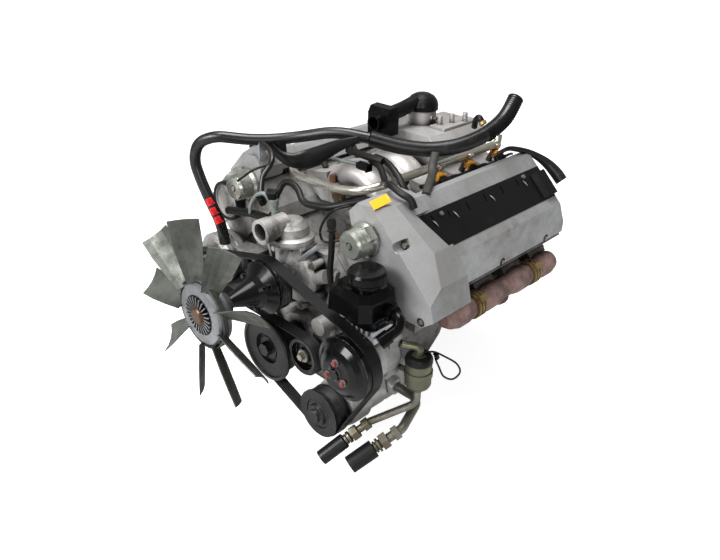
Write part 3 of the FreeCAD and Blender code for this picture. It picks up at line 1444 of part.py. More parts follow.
def union_pipe(route, radius):
    """Pipe with a hexagon union, a collar and the plain stub that the cap slides onto."""
    mouth, way = union_points(route)
    tube = pipe(route[:-1] + [tuple(mouth)], radius, 26)
    stub_end = mouth + way * PIPE_STUB_LENGTH
    stub = Part.makeCylinder(radius - 1, PIPE_STUB_LENGTH + 2, mouth - way * 2, way)
    nut = hex_bolt(tuple(mouth - way * 34), tuple(way), radius * 2 + 12, 16)
    collar = Part.makeCylinder(radius + 5, 5, mouth - way * 14, way)
    bead = Part.makeCylinder(radius + 3, 4, mouth - way * 6, way)
    rear_nut = hex_bolt(tuple(mouth - way * 62), tuple(way), radius * 2 + 8, 14)
    return fuse([tube, stub, nut, collar, bead, rear_nut])


def union_cap(route, radius, cap_radius):
    mouth, way = union_points(route)
    cap = Part.makeCylinder(cap_radius, PIPE_CAP_LENGTH - CLEAR, mouth + way * CLEAR, way)
    bore = Part.makeCylinder(radius - 1 + RUN_GAP, PIPE_STUB_LENGTH + CLEAR, mouth, way)
    return cap.cut(bore)


def refrigerant_pipes():
    return group([union_pipe(suction_route(), SUCTION_R), union_pipe(liquid_route(), LIQUID_R)])


# Harness, leads and hoses

HARNESS_R = 12.5
CONDUIT_R = 16.5
CONDUIT_START = 11
HARNESS_ROUTE = [
    (-212, -612, 160), (-222, -614, 212), (-243, -618, 248), (-268, -624, 300), (-284, -627, 345),
    (-268, -622, 388),
    (-233, -600, 405), (-183, -548, 397), (-152, -505, 395), (-110, -465, 402), (-41, -425, 421),
    (25, -385, 412),
    (75, -345, 396), (121, -300, 389), (160, -250, 396), (182, -185, 413), (185, -125, 437),
    (180, -82, 472),
]


def wiring_harness():
    """Taped bundle from the alternator, over the intake, to the rear."""
    taped = pipe(HARNESS_ROUTE[:CONDUIT_START + 1], HARNESS_R)
    return taped.fuse(pipe(HARNESS_ROUTE[CONDUIT_START:], CONDUIT_R))


def harness_support():
    """Moulded stand on the right timing cover under the harness."""
    return prism_y([(-188, 345), (-162, 345), (-160, 396), (-180, 396)], -538, -520)


def coolant_hoses():
    """Rubber hoses at the front: bypass loop, heater return and breather."""
    loop = pipe([
        (-46, -590, 262), (-62, -584, 300), (-52, -560, 345), (-10, -560, 338), (20, -575, 316),
        (84, -566, 322),
        (120, -545, 336), bank_point(-134, -532, 366, 1),
    ], 7)
    breather = pipe([(60, -404, 384), (96, -412, 386), (128, -424, 380), (158, -434, 366),
        bank_point(-108, -440, 371, 1)], 7)
    return group([loop, breather])


def oil_filler_cap():
    seat = COVER_H + TIMING_COVER_RISE + CLEAR
    cap = turned_z(FILLER_ACROSS, FILLER_Y, [
        (0, seat), (FILLER_R, seat), (FILLER_R + 1, seat + 4), (FILLER_R + 1, seat + 14),
        (FILLER_R - 2, seat + 18),
        (0, seat + 18),
    ])
    return on_bank(cap, FILLER_SIDE)


def engine_nodes():
    """Every piece by name, each cut back to where it lies on its neighbour."""
    block = engine_block()
    case = timing_case()
    pump = water_pump()
    thermostat = thermostat_housing()
    heads = {1: cylinder_head(1), -1: cylinder_head(-1)}
    front_covers = {1: timing_cover(1), -1: timing_cover(-1)}
    intake = intake_manifold()
    rail = fuel_rail()
    cam_covers = {1: cam_cover(1), -1: cam_cover(-1)}
    dryer = receiver()
    generator = alternator()
    meter = air_meter()
    body = throttle_body()
    harness = trimmed(wiring_harness(), generator)
    clip = trimmed(harness_support(), front_covers[-1], harness)
    strut = trimmed(front_strut(), pump, heads[1])
    nodes = {
        "engine_block": block,
        "main_bearing_caps": bearing_caps(),
        "crankshaft": crankshaft(),
        "drive_plate": drive_plate(),
        "oil_pan": oil_pan(),
        "timing_case": case,
        "water_pump": pump,
        "thermostat_housing": thermostat,
        "crank_damper": group([crank_damper(), crank_bolt()]),
        "fan_pulley": pump_pulley(),
        "fan_clutch": fan_clutch(),
        "fan_blades": fan_blades(),
        "steering_pump": steering_pump(),
        "steering_pulley": steering_pulley(),
        "reservoir_bracket": finned_bracket(),
        "steering_reservoir": steering_reservoir(),
        "reservoir_elbow": reservoir_elbow(),
        "reservoir_cap": reservoir_cap(),
        "compressor": compressor(),
        "compressor_pulley": compressor_pulley(),
        "compressor_clutch": compressor_clutch(),
        "tensioner_arm": tensioner_arm(),
        "tensioner_roller": tensioner_roller(),
        "alternator": generator,
        "alternator_pulley": alternator_pulley(),
        "accessory_bracket": trimmed(accessory_bracket(), case, dryer),
        "drive_belt": drive_belt(),
        "timing_chain": timing_chain(),
        "chain_idler": chain_idler(),
        "intake_manifold": intake,
        "throttle_body": body,
        "throttle_plate": throttle_plate(),
        "air_intake_hood": trimmed(air_intake(), meter, body),
        "air_meter": trimmed(meter, intake),
        "fuel_rail": rail,
        "injectors": trimmed(injectors(), intake, rail),
        "exhaust_clamps": exhaust_clamps(),
        "receiver": dryer,
        "refrigerant_pipes": refrigerant_pipes(),
        "suction_pipe_cap": union_cap(suction_route(), SUCTION_R, 19.0),
        "liquid_pipe_cap": union_cap(liquid_route(), LIQUID_R, 16.0),
        "wiring_harness": harness,
        "coolant_hoses": trimmed(coolant_hoses(), thermostat, front_covers[1], cam_covers[1]),
        "fasteners": group([cover_bolts(), pump_bolts(), sump_fasteners(), roller_bolt()]),
        "stays": group([strut, clip]),
        "lead_covers": group([lead_cover(1), lead_cover(-1)]),
        "cam_adjusters": group([cam_adjuster(1), cam_adjuster(-1)]),
        "oil_filler_cap": oil_filler_cap(),
    }
    for side, name in ((1, "left"), (-1, "right")):
        nodes[name + "_cylinder_head"] = heads[side]
        nodes[name + "_cam_cover"] = cam_covers[side]
        nodes[name + "_timing_cover"] = front_covers[side]
        nodes[name + "_exhaust_manifold"] = exhaust_manifold(side)
        nodes[name + "_intake_camshaft"] = camshaft(-CAM_HALF_SPACING, side)
        nodes[name + "_exhaust_camshaft"] = camshaft(CAM_HALF_SPACING, side)
    return nodes


os.makedirs("parts", exist_ok=True)
for name, shape in engine_nodes().items():
    shape.exportStep("parts/" + name + ".step")
    print(name, shape.isValid(), len(shape.Solids), round(shape.Volume / 1000))
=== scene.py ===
import math

import bmesh
import bpy
from mathutils import Matrix, Vector


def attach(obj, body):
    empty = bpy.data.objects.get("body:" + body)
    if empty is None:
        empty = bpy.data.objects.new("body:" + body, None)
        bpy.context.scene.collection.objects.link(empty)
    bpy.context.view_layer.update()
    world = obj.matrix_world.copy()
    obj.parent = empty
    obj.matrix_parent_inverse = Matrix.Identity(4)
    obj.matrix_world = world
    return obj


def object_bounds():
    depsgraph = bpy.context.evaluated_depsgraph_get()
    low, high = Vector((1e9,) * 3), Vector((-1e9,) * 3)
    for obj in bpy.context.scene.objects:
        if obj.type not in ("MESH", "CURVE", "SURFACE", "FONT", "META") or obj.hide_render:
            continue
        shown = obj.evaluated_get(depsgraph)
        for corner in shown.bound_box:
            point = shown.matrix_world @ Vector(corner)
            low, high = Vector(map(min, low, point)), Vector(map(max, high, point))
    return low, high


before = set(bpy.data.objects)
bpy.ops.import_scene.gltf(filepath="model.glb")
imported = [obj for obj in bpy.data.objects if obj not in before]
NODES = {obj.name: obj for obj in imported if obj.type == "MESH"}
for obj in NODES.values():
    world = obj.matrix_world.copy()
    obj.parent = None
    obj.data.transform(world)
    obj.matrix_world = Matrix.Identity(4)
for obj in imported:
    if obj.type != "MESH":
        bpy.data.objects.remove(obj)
CAD_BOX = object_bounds()

# Camera of the photograph: front three-quarter view from above the fan.
CAMERA_AT = (1.0503, -1.4650, 0.8775)
AZIMUTH = 44.2
ELEVATION = 28.5
ROLL = 0.7
LENS = 36.0
SENSOR_WIDTH = 36.0


def make_camera():
    data = bpy.data.cameras.new("camera")
    data.lens = LENS
    data.sensor_width = SENSOR_WIDTH
    data.clip_start = 0.05
    data.clip_end = 50.0
    camera = bpy.data.objects.new("camera", data)
    bpy.context.scene.collection.objects.link(camera)
    a = math.radians(AZIMUTH)
    e = math.radians(ELEVATION)
    back = Vector((math.sin(a) * math.cos(e), -math.cos(a) * math.cos(e), math.sin(e)))
    turn = (-back).to_track_quat("-Z", "Y").to_matrix().to_4x4()
    camera.matrix_world = Matrix.Translation(CAMERA_AT) @ turn @ Matrix.Rotation(math.radians(ROLL), 4, "Z")
    bpy.context.scene.camera = camera


make_camera()


# Colours and shader building

def linear(code):
    """Linear colour of an sRGB hex code."""
    values = [int(code[i:i + 2], 16) / 255 for i in (0, 2, 4)]
    return tuple(v / 12.92 if v <= 0.04045 else ((v + 0.055) / 1.055) ** 2.4 for v in values) + (1.0,)


def add(tree, kind, inputs=None, **settings):
    """Adds one shader node, with its settings and its inputs, and returns it."""
    node = tree.nodes.new(kind)
    for key, value in settings.items():
        setattr(node, key, value)
    for key, value in (inputs or {}).items():
        if isinstance(value, bpy.types.NodeSocket):
            tree.links.new(value, node.inputs[key])
        else:
            node.inputs[key].default_value = value
    return node


def noise(tree, scale, detail=4.0, roughness=0.55):
    """Noise in the object's own coordinates, at so many features to the metre."""
    place = add(tree, "ShaderNodeTexCoord").outputs["Object"]
    return add(tree, "ShaderNodeTexNoise", {
        "Vector": place, "Scale": scale, "Detail": detail, "Roughness": roughness}).outputs["Fac"]


def band(tree, value, low, high):
    """0 below low, 1 above high, smooth between."""
    return add(tree, "ShaderNodeMapRange", {0: value, 1: low, 2: high},
               interpolation_type="SMOOTHSTEP").outputs[0]


def mix(tree, factor, a, b):
    return add(tree, "ShaderNodeMix", {0: factor, 6: a, 7: b}, data_type="RGBA").outputs[2]


def product(tree, a, b):
    return add(tree, "ShaderNodeMath", {0: a, 1: b}, operation="MULTIPLY").outputs[0]


def from_axis(tree, x, z):
    """Distance from a line along Y through x, z, in metres."""
    place = add(tree, "ShaderNodeTexCoord").outputs["Object"]
    parts = add(tree, "ShaderNodeSeparateXYZ", {0: place})
    flat = add(tree, "ShaderNodeCombineXYZ", {0: parts.outputs[0], 1: parts.outputs[2]}).outputs[0]
    return add(tree, "ShaderNodeVectorMath", {0: flat, 1: (x, z, 0.0)}, operation="DISTANCE").outputs["Value"]


def surface(name, colour, second, metallic, rough, dirt_and_shade_colour=None, shade_reach=0.02, dirt_and_shade_amount=0.8,
            stain=None, stain_scale=14.0, stain_low=0.52, grain=900.0, bump=0.12, bump_depth=0.0004,
            mottle=9.0, edge=0.0008, wear=None, rough_spread=0.12, extra=None, fine=0.3, sheen=0.5):
    """One surface: two tones mottled together, stains, a dirt film and painted shade in the recesses, grain
    and rounded edges.
    """
    material = bpy.data.materials.new(name)
    material.use_nodes = True
    tree = material.node_tree
    shader = tree.nodes["Principled BSDF"]
    tone = band(tree, noise(tree, mottle), 0.35, 0.68)
    skin = mix(tree, tone, linear(colour), linear(second))
    speck = band(tree, noise(tree, grain * 0.35, 2.0), 0.42, 0.62)
    skin = mix(tree, product(tree, speck, fine), skin, linear(second))
    if stain:
        spots = band(tree, noise(tree, stain_scale, 8.0, roughness=0.7), stain_low, stain_low + 0.16)
        skin = mix(tree, product(tree, spots, 0.75), skin, linear(stain))
    if extra:
        skin = extra(tree, skin)
    if wear:
        bevelled = add(tree, "ShaderNodeBevel", {0: edge * 1.8}, samples=4).outputs[0]
        flat = add(tree, "ShaderNodeNewGeometry").outputs["Normal"]
        bend = add(tree, "ShaderNodeVectorMath", {0: bevelled, 1: flat},
                   operation="DOT_PRODUCT").outputs["Value"]
        rub = add(tree, "ShaderNodeMath", {0: 1.0, 1: bend}, operation="SUBTRACT").outputs[0]
        rub = product(tree, band(tree, rub, 0.02, 0.16), band(tree, noise(tree, 60.0), 0.4, 0.6))
        skin = mix(tree, rub, skin, linear(wear))
    if dirt_and_shade_colour:
        # painted shade: the recesses that ambient occlusion finds are darkened to the dirt-and-shade colour,
        # with a patchy film of real dirt added on top; metal and roughness follow the same mask
        open_sky = add(tree, "ShaderNodeAmbientOcclusion", {"Distance": shade_reach}, samples=8).outputs["AO"]
        painted_shade = add(tree, "ShaderNodeMath", {0: 1.0, 1: open_sky}, operation="SUBTRACT").outputs[0]
        patchy = band(tree, noise(tree, 45.0, 6.0), 0.25, 0.75)
        dirt_and_shade_mask = product(tree, band(tree, painted_shade, 0.12, 0.75), dirt_and_shade_amount)
        film = product(tree, patchy, 0.25 * dirt_and_shade_amount)
        dirt_and_shade_mask = add(tree, "ShaderNodeMath", {0: dirt_and_shade_mask, 1: film}, operation="ADD", use_clamp=True).outputs[0]
        skin = mix(tree, dirt_and_shade_mask, skin, linear(dirt_and_shade_colour))
        metal = add(tree, "ShaderNodeMath", {0: 1.0, 1: dirt_and_shade_mask}, operation="SUBTRACT").outputs[0]
        tree.links.new(product(tree, metal, metallic), shader.inputs["Metallic"])
        shine = add(tree, "ShaderNodeMath", {0: dirt_and_shade_mask, 1: 0.3, 2: rough}, operation="MULTIPLY_ADD").outputs[0]
    else:
        shader.inputs["Metallic"].default_value = metallic
        shine = rough
    shine = add(tree, "ShaderNodeMath", {0: tone, 1: rough_spread, 2: shine},
                operation="MULTIPLY_ADD").outputs[0]
    tree.links.new(shine, shader.inputs["Roughness"])
    tree.links.new(skin, shader.inputs["Base Color"])
    rounded = add(tree, "ShaderNodeBevel", {0: edge}, samples=4).outputs[0]
    rough_skin = noise(tree, grain, 3.0)
    raised = add(tree, "ShaderNodeBump", {
        "Strength": bump, "Distance": bump_depth, "Height": rough_skin, "Normal": rounded}).outputs[0]
    tree.links.new(raised, shader.inputs["Normal"])
    shader.inputs["Specular IOR Level"].default_value = sheen
    return material


# dark brown for the painted shade in recesses and for dirt films
DIRT_AND_SHADE_BROWN = "1d1813"

# Axes of the fan clutch and the steering pulley (x, z), and reaches of their rust, in metres.
CLUTCH_AXIS = (0.0, 0.151)
HUB_RUST_END = 0.030
HUB_RUST_FULL = 0.017
STEERING_AXIS = (0.245, 0.073)
PULLEY_BOLT_CIRCLE = 0.024
BOLT_SEAT = (0.0082, 0.0070)
BOLT_HEAD = (0.0062, 0.0054)


def rust_hub(tree, skin):
    """Rust that spreads from the clutch's centre over its fins."""
    near = add(tree, "ShaderNodeMath", {0: noise(tree, 160.0, 5.0), 1: 0.012, 2: -0.006},
               operation="MULTIPLY_ADD").outputs[0]
    reach = add(tree, "ShaderNodeMath", {0: from_axis(tree, *CLUTCH_AXIS), 1: near}, operation="ADD")
    reach = reach.outputs[0]
    rusty = mix(tree, noise(tree, 220.0, 4.0), linear("38271c"), linear("644631"))
    return mix(tree, band(tree, reach, HUB_RUST_END, HUB_RUST_FULL), skin, rusty)


def rusty_bolts(tree, skin):
    """Rusted heads of the three bolts in the steering pulley, on their rubbed seats."""
    for degrees in (90, 210, 330):
        a = math.radians(degrees)
        reach = from_axis(tree, STEERING_AXIS[0] + PULLEY_BOLT_CIRCLE * math.cos(a),
                          STEERING_AXIS[1] + PULLEY_BOLT_CIRCLE * math.sin(a))
        skin = mix(tree, band(tree, reach, *BOLT_SEAT), skin, linear("6d605c"))
        rusty = mix(tree, noise(tree, 300.0, 4.0), linear("4f1e1a"), linear("7d3b34"))
        skin = mix(tree, band(tree, reach, *BOLT_HEAD), skin, rusty)
    return skin


MATERIALS = {
    # die-cast aluminium cam covers: satin, a little grey, with oil stains, and painted shade browning the
    # recesses along their edges
    "cover": surface("die_cast_aluminium", "b2b3b5", "9a9997", metallic=0.65, rough=0.36, dirt_and_shade_colour=DIRT_AND_SHADE_BROWN,
                     shade_reach=0.012, dirt_and_shade_amount=0.8, stain="7d7368", stain_scale=11.0,
                     stain_low=0.6),
    # sand-cast aluminium housings behind the belt, filmed with old oil, their recesses darkened by painted
    # shade
    "housing": surface("cast_aluminium_oily", "bcbbb9", "86837f", metallic=0.6, rough=0.38,
                       dirt_and_shade_colour="0f0d0b", shade_reach=0.04, dirt_and_shade_amount=1.0, stain="4a423a",
                       stain_scale=18.0, stain_low=0.5, bump=0.3, wear="d5d4d0"),
    # pump and compressor castings: a lighter copy of the block's casting, painted light for their shaded
    # sides, with less dirt
    "pump": surface("cast_aluminium_painted_light", "d2d2d1", "a6a5a2", metallic=0.55, rough=0.36,
                    dirt_and_shade_colour="14110e", shade_reach=0.03, dirt_and_shade_amount=1.0, stain="6b6258", stain_scale=20.0,
                    stain_low=0.56, bump=0.25, wear="e2e1de"),
    # pressure-cast intake: the brightest casting
    "intake": surface("intake_aluminium", "c8c6c5", "aba7a4", metallic=0.65, rough=0.34, dirt_and_shade_colour="14110e",
                      shade_reach=0.03, dirt_and_shade_amount=1.0, stain="857a6e", stain_scale=16.0,
                      stain_low=0.6),
    # fan: dull pressed aluminium with mineral stains
    "fan": surface("fan_aluminium", "5e615b", "3d403a", metallic=0.55, rough=0.44, dirt_and_shade_colour=DIRT_AND_SHADE_BROWN,
                   shade_reach=0.01, dirt_and_shade_amount=0.6, stain="2b2c28", stain_scale=26.0, stain_low=0.52,
                   mottle=16.0),
    # cast clutch, bright where the air scours it and rusty at its centre
    "clutch": surface("clutch_aluminium", "8b8d90", "5f6163", metallic=0.75, rough=0.3, dirt_and_shade_colour="100d0a",
                      shade_reach=0.012, dirt_and_shade_amount=1.0, stain="6b563e", stain_scale=46.0,
                      stain_low=0.58, extra=rust_hub),
    "silver": surface("bright_bracket_casting", "c9ccd2", "a5a8ac", metallic=0.85, rough=0.26,
                      dirt_and_shade_colour=DIRT_AND_SHADE_BROWN, shade_reach=0.01, dirt_and_shade_amount=0.9, stain="7b6f60", stain_scale=40.0,
                      stain_low=0.62),
    # ground and turned steel
    "steel": surface("turned_steel", "8c8a86", "6d6963", metallic=0.95, rough=0.32, dirt_and_shade_colour=DIRT_AND_SHADE_BROWN,
                     shade_reach=0.01, dirt_and_shade_amount=0.7, stain="5a4636", stain_scale=30.0,
                     stain_low=0.62, bump=0.06),
    "bolt": surface("zinc_bolt_steel", "a8a59c", "7d7869", metallic=0.95, rough=0.32, dirt_and_shade_colour=DIRT_AND_SHADE_BROWN,
                    shade_reach=0.006, dirt_and_shade_amount=0.7, stain="6b4a33", stain_scale=60.0, stain_low=0.6,
                    bump=0.06),
    # adjuster cans: passivated zinc with a green cast
    "zinc": surface("passivated_zinc", "c6c8c0", "a0a39a", metallic=0.95, rough=0.17, dirt_and_shade_colour=DIRT_AND_SHADE_BROWN,
                    shade_reach=0.008, dirt_and_shade_amount=0.8, stain="777a6e", stain_scale=30.0, stain_low=0.6,
                    bump=0.05),
    "rail": surface("plated_fuel_rail", "c9c6be", "a8a292", metallic=0.95, rough=0.22, dirt_and_shade_colour=DIRT_AND_SHADE_BROWN,
                    shade_reach=0.01, dirt_and_shade_amount=0.7, stain="7d7152", stain_scale=22.0, stain_low=0.58,
                    bump=0.04),
    "brass": surface("yellow_zinc_clamp", "bda273", "8c764b", metallic=0.95, rough=0.34, dirt_and_shade_colour=DIRT_AND_SHADE_BROWN,
                     shade_reach=0.006, dirt_and_shade_amount=0.8, stain="58412c", stain_scale=50.0,
                     stain_low=0.56),
    # aluminium pipes and unions, weathered grey with yellowed flats
    "union": surface("weathered_pipe_union", "85827a", "5f5a4a", metallic=0.85, rough=0.32, dirt_and_shade_colour=DIRT_AND_SHADE_BROWN,
                     shade_reach=0.008, dirt_and_shade_amount=0.9, stain="77673f", stain_scale=60.0,
                     stain_low=0.55),
    # paint and plastics
    "pulley": surface("black_pulley_paint", "060607", "0b0b0b", metallic=0.0, rough=0.13, sheen=0.2,
                      stain="241d18", stain_scale=60.0, stain_low=0.68, bump=0.04, wear="6f6c66"),
    "steering": surface("black_pulley_paint_rusty_bolts", "060607", "0b0b0b", metallic=0.0, rough=0.13,
                        sheen=0.2, stain="241d18", stain_scale=60.0, stain_low=0.68, bump=0.04,
                        wear="6f6c66", extra=rusty_bolts),
    "damper": surface("dark_damper_iron", "131416", "0d0d0f", metallic=0.0, rough=0.4, dirt_and_shade_colour=DIRT_AND_SHADE_BROWN,
                      shade_reach=0.01, dirt_and_shade_amount=0.6, stain="2c221b", stain_scale=30.0,
                      stain_low=0.62, wear="77726b", sheen=0.3),
    "gloss_black": surface("gloss_black_plastic", "040405", "070707", metallic=0.0, rough=0.1,
                           sheen=0.12, bump=0.03, stain="151413", stain_scale=40.0),
    "satin_black": surface("satin_black_plastic", "070708", "0c0c0d", metallic=0.0, rough=0.28,
                           sheen=0.2, bump=0.12, stain="1c1a19", stain_scale=30.0, stain_low=0.6),
    "rubber": surface("black_rubber", "09090a", "121212", metallic=0.0, rough=0.34, sheen=0.22,
                      stain="24211f", stain_scale=35.0, stain_low=0.6, bump=0.2),
    "belt": surface("ribbed_belt_rubber", "0e0e0f", "151515", metallic=0.0, rough=0.36, sheen=0.2,
                    stain="2b2927", stain_scale=40.0, stain_low=0.6, bump=0.1),
    "tape": surface("harness_tape", "090909", "131212", metallic=0.0, rough=0.27, sheen=0.4,
                    stain="242220", stain_scale=50.0, bump=0.35, grain=420.0),
    "injector": surface("injector_body", "3a3125", "17120c", metallic=0.2, rough=0.4, dirt_and_shade_colour=DIRT_AND_SHADE_BROWN,
                        shade_reach=0.01, dirt_and_shade_amount=0.6),
    # rusted cast iron exhaust: purplish brown, matt
    "rust": surface("rusted_cast_iron", "a98983", "73605b", metallic=0.1, rough=0.66, dirt_and_shade_colour="1c1412",
                    shade_reach=0.03, dirt_and_shade_amount=0.9, stain="8f6f64", stain_scale=34.0, stain_low=0.52,
                    bump=0.7, bump_depth=0.001, grain=420.0, mottle=22.0),
    "receiver": surface("receiver_zinc", "76725c", "5a5e50", metallic=0.85, rough=0.3, dirt_and_shade_colour=DIRT_AND_SHADE_BROWN,
                        shade_reach=0.012, dirt_and_shade_amount=0.9, stain="6b5a35", stain_scale=25.0,
                        stain_low=0.55),
    # small dressed pieces
    "red": surface("red_connector_plastic", "d8121a", "b00e15", metallic=0.0, rough=0.3, dirt_and_shade_colour="2a0a0a",
                   shade_reach=0.004, dirt_and_shade_amount=0.7, bump=0.05),
    "amber": surface("amber_connector_plastic", "e09a2c", "c07f20", metallic=0.0, rough=0.32,
                     dirt_and_shade_colour="3a2a14", shade_reach=0.004, dirt_and_shade_amount=0.8, bump=0.05),
    "copper": surface("copper_sensor", "a8765c", "7f5644", metallic=0.95, rough=0.3, dirt_and_shade_colour=DIRT_AND_SHADE_BROWN,
                      shade_reach=0.004, dirt_and_shade_amount=0.6, bump=0.05),
    "brown": surface("brown_connector_plastic", "5a4326", "46331c", metallic=0.0, rough=0.35,
                     dirt_and_shade_colour=DIRT_AND_SHADE_BROWN, shade_reach=0.004, dirt_and_shade_amount=0.7, bump=0.05),
    "sensor": surface("grey_green_sensor", "7a827e", "5d6562", metallic=0.2, rough=0.4, dirt_and_shade_colour=DIRT_AND_SHADE_BROWN,
                      shade_reach=0.004, dirt_and_shade_amount=0.8, bump=0.08),
    "patch": surface("yellow_foil_patch", "e9bd2c", "dba61c", metallic=0.0, rough=0.38, bump=0.03,
                     stain="f0cf6a", stain_scale=60.0),
    "strap": surface("grey_rubber_strap", "2b2b28", "1e1e1c", metallic=0.0, rough=0.5, sheen=0.3,
                     bump=0.2, stain="35332f", stain_scale=40.0),
}

LOOKS = {
    "cover": ["left_cam_cover", "right_cam_cover", "left_timing_cover", "right_timing_cover"],
    "housing": ["engine_block", "left_cylinder_head", "right_cylinder_head", "timing_case", "water_pump",
                "oil_pan", "thermostat_housing", "alternator", "tensioner_arm"],
    "pump": ["steering_pump", "compressor", "accessory_bracket"],
    "clutch": ["fan_clutch"],
    "silver": ["reservoir_bracket", "stays"],
    "intake": ["intake_manifold", "throttle_body"],
    "fan": ["fan_blades"],
    "steel": ["crankshaft", "main_bearing_caps", "drive_plate", "throttle_plate", "left_intake_camshaft",
              "left_exhaust_camshaft", "right_intake_camshaft", "right_exhaust_camshaft",
              "timing_chain", "chain_idler"],
    "zinc": ["cam_adjusters"],
    "bolt": ["fasteners"],
    "rail": ["fuel_rail"],
    "brass": ["exhaust_clamps"],
    "union": ["refrigerant_pipes"],
    "receiver": ["receiver"],
    "steering": ["steering_pulley"],
    "pulley": ["fan_pulley", "tensioner_roller", "alternator_pulley"],
    "damper": ["crank_damper", "compressor_clutch", "compressor_pulley"],
    "gloss_black": ["steering_reservoir", "reservoir_elbow", "reservoir_cap", "oil_filler_cap", "air_meter"],
    "satin_black": ["lead_covers", "air_intake_hood"],
    "rubber": ["coolant_hoses", "suction_pipe_cap", "liquid_pipe_cap"],
    "belt": ["drive_belt"],
    "tape": ["wiring_harness"],
    "injector": ["injectors"],
    "rust": ["left_exhaust_manifold", "right_exhaust_manifold"],
}

for look, names in LOOKS.items():
    for name in names:
        mesh = NODES[name].data
        mesh.materials.clear()
        mesh.materials.append(MATERIALS[look])

# Shapes for the dressed pieces. Places are in millimetres in the part's frame.

MM = 0.001
BANK_STAGGER = 24
SHARP_ANGLE = 38


def make_tree(name, inputs):
    """Empty geometry tree with its named inputs, and their sockets inside."""
    tree = bpy.data.node_groups.new(name, "GeometryNodeTree")
    tree.interface.new_socket("Geometry", in_out="INPUT", socket_type="NodeSocketGeometry")
    for label, kind in inputs.items():
        tree.interface.new_socket(label, in_out="INPUT", socket_type=kind)
    tree.interface.new_socket("Geometry", in_out="OUTPUT", socket_type="NodeSocketGeometry")
    return tree, tree.nodes.new("NodeGroupInput").outputs


def close_tree(tree, geometry, material):
    """Real geometry with its material, at the end of a tree."""
    solid = add(tree, "GeometryNodeRealizeInstances", {"Geometry": geometry}).outputs[0]
    painted = add(tree, "GeometryNodeSetMaterial", {"Geometry": solid, "Material": material}).outputs[0]
    tree.links.new(painted, tree.nodes.new("NodeGroupOutput").inputs[0])


def hose_tree():
    """A tube along a drawn line, as thick at each point as its size attribute says."""
    tree, given = make_tree("hose", {
        "Sides": "NodeSocketInt", "Flatness": "NodeSocketFloat", "Material": "NodeSocketMaterial"})
    line = add(tree, "GeometryNodeMeshToCurve", {"Mesh": given["Geometry"]}).outputs[0]
    size = add(tree, "GeometryNodeInputNamedAttribute", {"Name": "size"},
               data_type="FLOAT").outputs["Attribute"]
    line = add(tree, "GeometryNodeSetCurveNormal", {"Curve": line}, mode="Z_UP").outputs[0]
    ring = add(tree, "GeometryNodeCurvePrimitiveCircle", {
        "Resolution": given["Sides"], "Radius": 1.0}).outputs[0]
    scale = add(tree, "ShaderNodeCombineXYZ", {0: 1.0, 1: given["Flatness"], 2: 1.0}).outputs[0]
    ring = add(tree, "GeometryNodeTransform", {"Geometry": ring, "Scale": scale}).outputs[0]
    tube = add(tree, "GeometryNodeCurveToMesh", {
        "Curve": line, "Profile Curve": ring, "Scale": size, "Fill Caps": True}).outputs[0]
    close_tree(tree, tube, given["Material"])
    return tree


def rings_tree():
    """Rings round a drawn line at an even spacing."""
    tree, given = make_tree("rings", {
        "Spacing": "NodeSocketFloat", "Radius": "NodeSocketFloat", "Thickness": "NodeSocketFloat",
        "Material": "NodeSocketMaterial"})
    line = add(tree, "GeometryNodeMeshToCurve", {"Mesh": given["Geometry"]}).outputs[0]
    points = add(tree, "GeometryNodeCurveToPoints", {"Curve": line, "Length": given["Spacing"]},
                 mode="LENGTH").outputs
    big = add(tree, "GeometryNodeCurvePrimitiveCircle", {
        "Resolution": 20, "Radius": given["Radius"]}).outputs[0]
    small = add(tree, "GeometryNodeCurvePrimitiveCircle", {
        "Resolution": 8, "Radius": given["Thickness"]}).outputs[0]
    ring = add(tree, "GeometryNodeCurveToMesh", {"Curve": big, "Profile Curve": small}).outputs[0]
    copies = add(tree, "GeometryNodeInstanceOnPoints", {
        "Points": points["Points"], "Instance": ring, "Rotation": points["Rotation"]}).outputs[0]
    close_tree(tree, copies, given["Material"])
    return tree


HOSE_TREE = hose_tree()
RINGS_TREE = rings_tree()


def smooth_line(points, steps=8):
    """Points of a smooth line through the given (x, y, z, size) in millimetres."""
    ends = [points[0]] + list(points) + [points[-1]]
    found = []
    for i in range(1, len(ends) - 2):
        a, b, c, d = (ends[i + k] for k in (-1, 0, 1, 2))
        for k in range(steps):
            t = k / steps
            found.append([0.5 * (2 * q + (r - p) * t + (2 * p - 5 * q + 4 * r - u) * t * t
                                 + (3 * q - p - 3 * r + u) * t ** 3) * MM for p, q, r, u in zip(a, b, c, d)])
    found.append([v * MM for v in points[-1]])
    return found


def line_mesh(name, found):
    mesh = bpy.data.meshes.new(name)
    mesh.from_pydata([v[:3] for v in found], [(i, i + 1) for i in range(len(found) - 1)], [])
    size = mesh.attributes.new("size", "FLOAT", "POINT")
    size.data.foreach_set("value", [v[3] for v in found])
    return mesh


def grow(name, mesh, tree, values, body):
    """Runs a geometry tree over a mesh and keeps the plain result on a body."""
    start = bpy.data.objects.new(name + "_line", mesh)
    bpy.context.scene.collection.objects.link(start)
    growth = start.modifiers.new("growth", "NODES")
    growth.node_group = tree
    for item in tree.interface.items_tree:
        if item.item_type == "SOCKET" and item.in_out == "INPUT" and item.name in values:
            growth[item.identifier] = values[item.name]
    bpy.context.view_layer.update()
    baked = bpy.data.meshes.new_from_object(start.evaluated_get(bpy.context.evaluated_depsgraph_get()))
    bpy.data.objects.remove(start)
    return place_mesh(name, baked, body)


def place_mesh(name, mesh, body="engine"):
    """A finished mesh as a piece that rides on a body."""
    mesh.shade_smooth()
    mesh.set_sharp_from_angle(angle=math.radians(SHARP_ANGLE))
    piece = bpy.data.objects.new(name, mesh)
    bpy.context.scene.collection.objects.link(piece)
    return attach(piece, body)


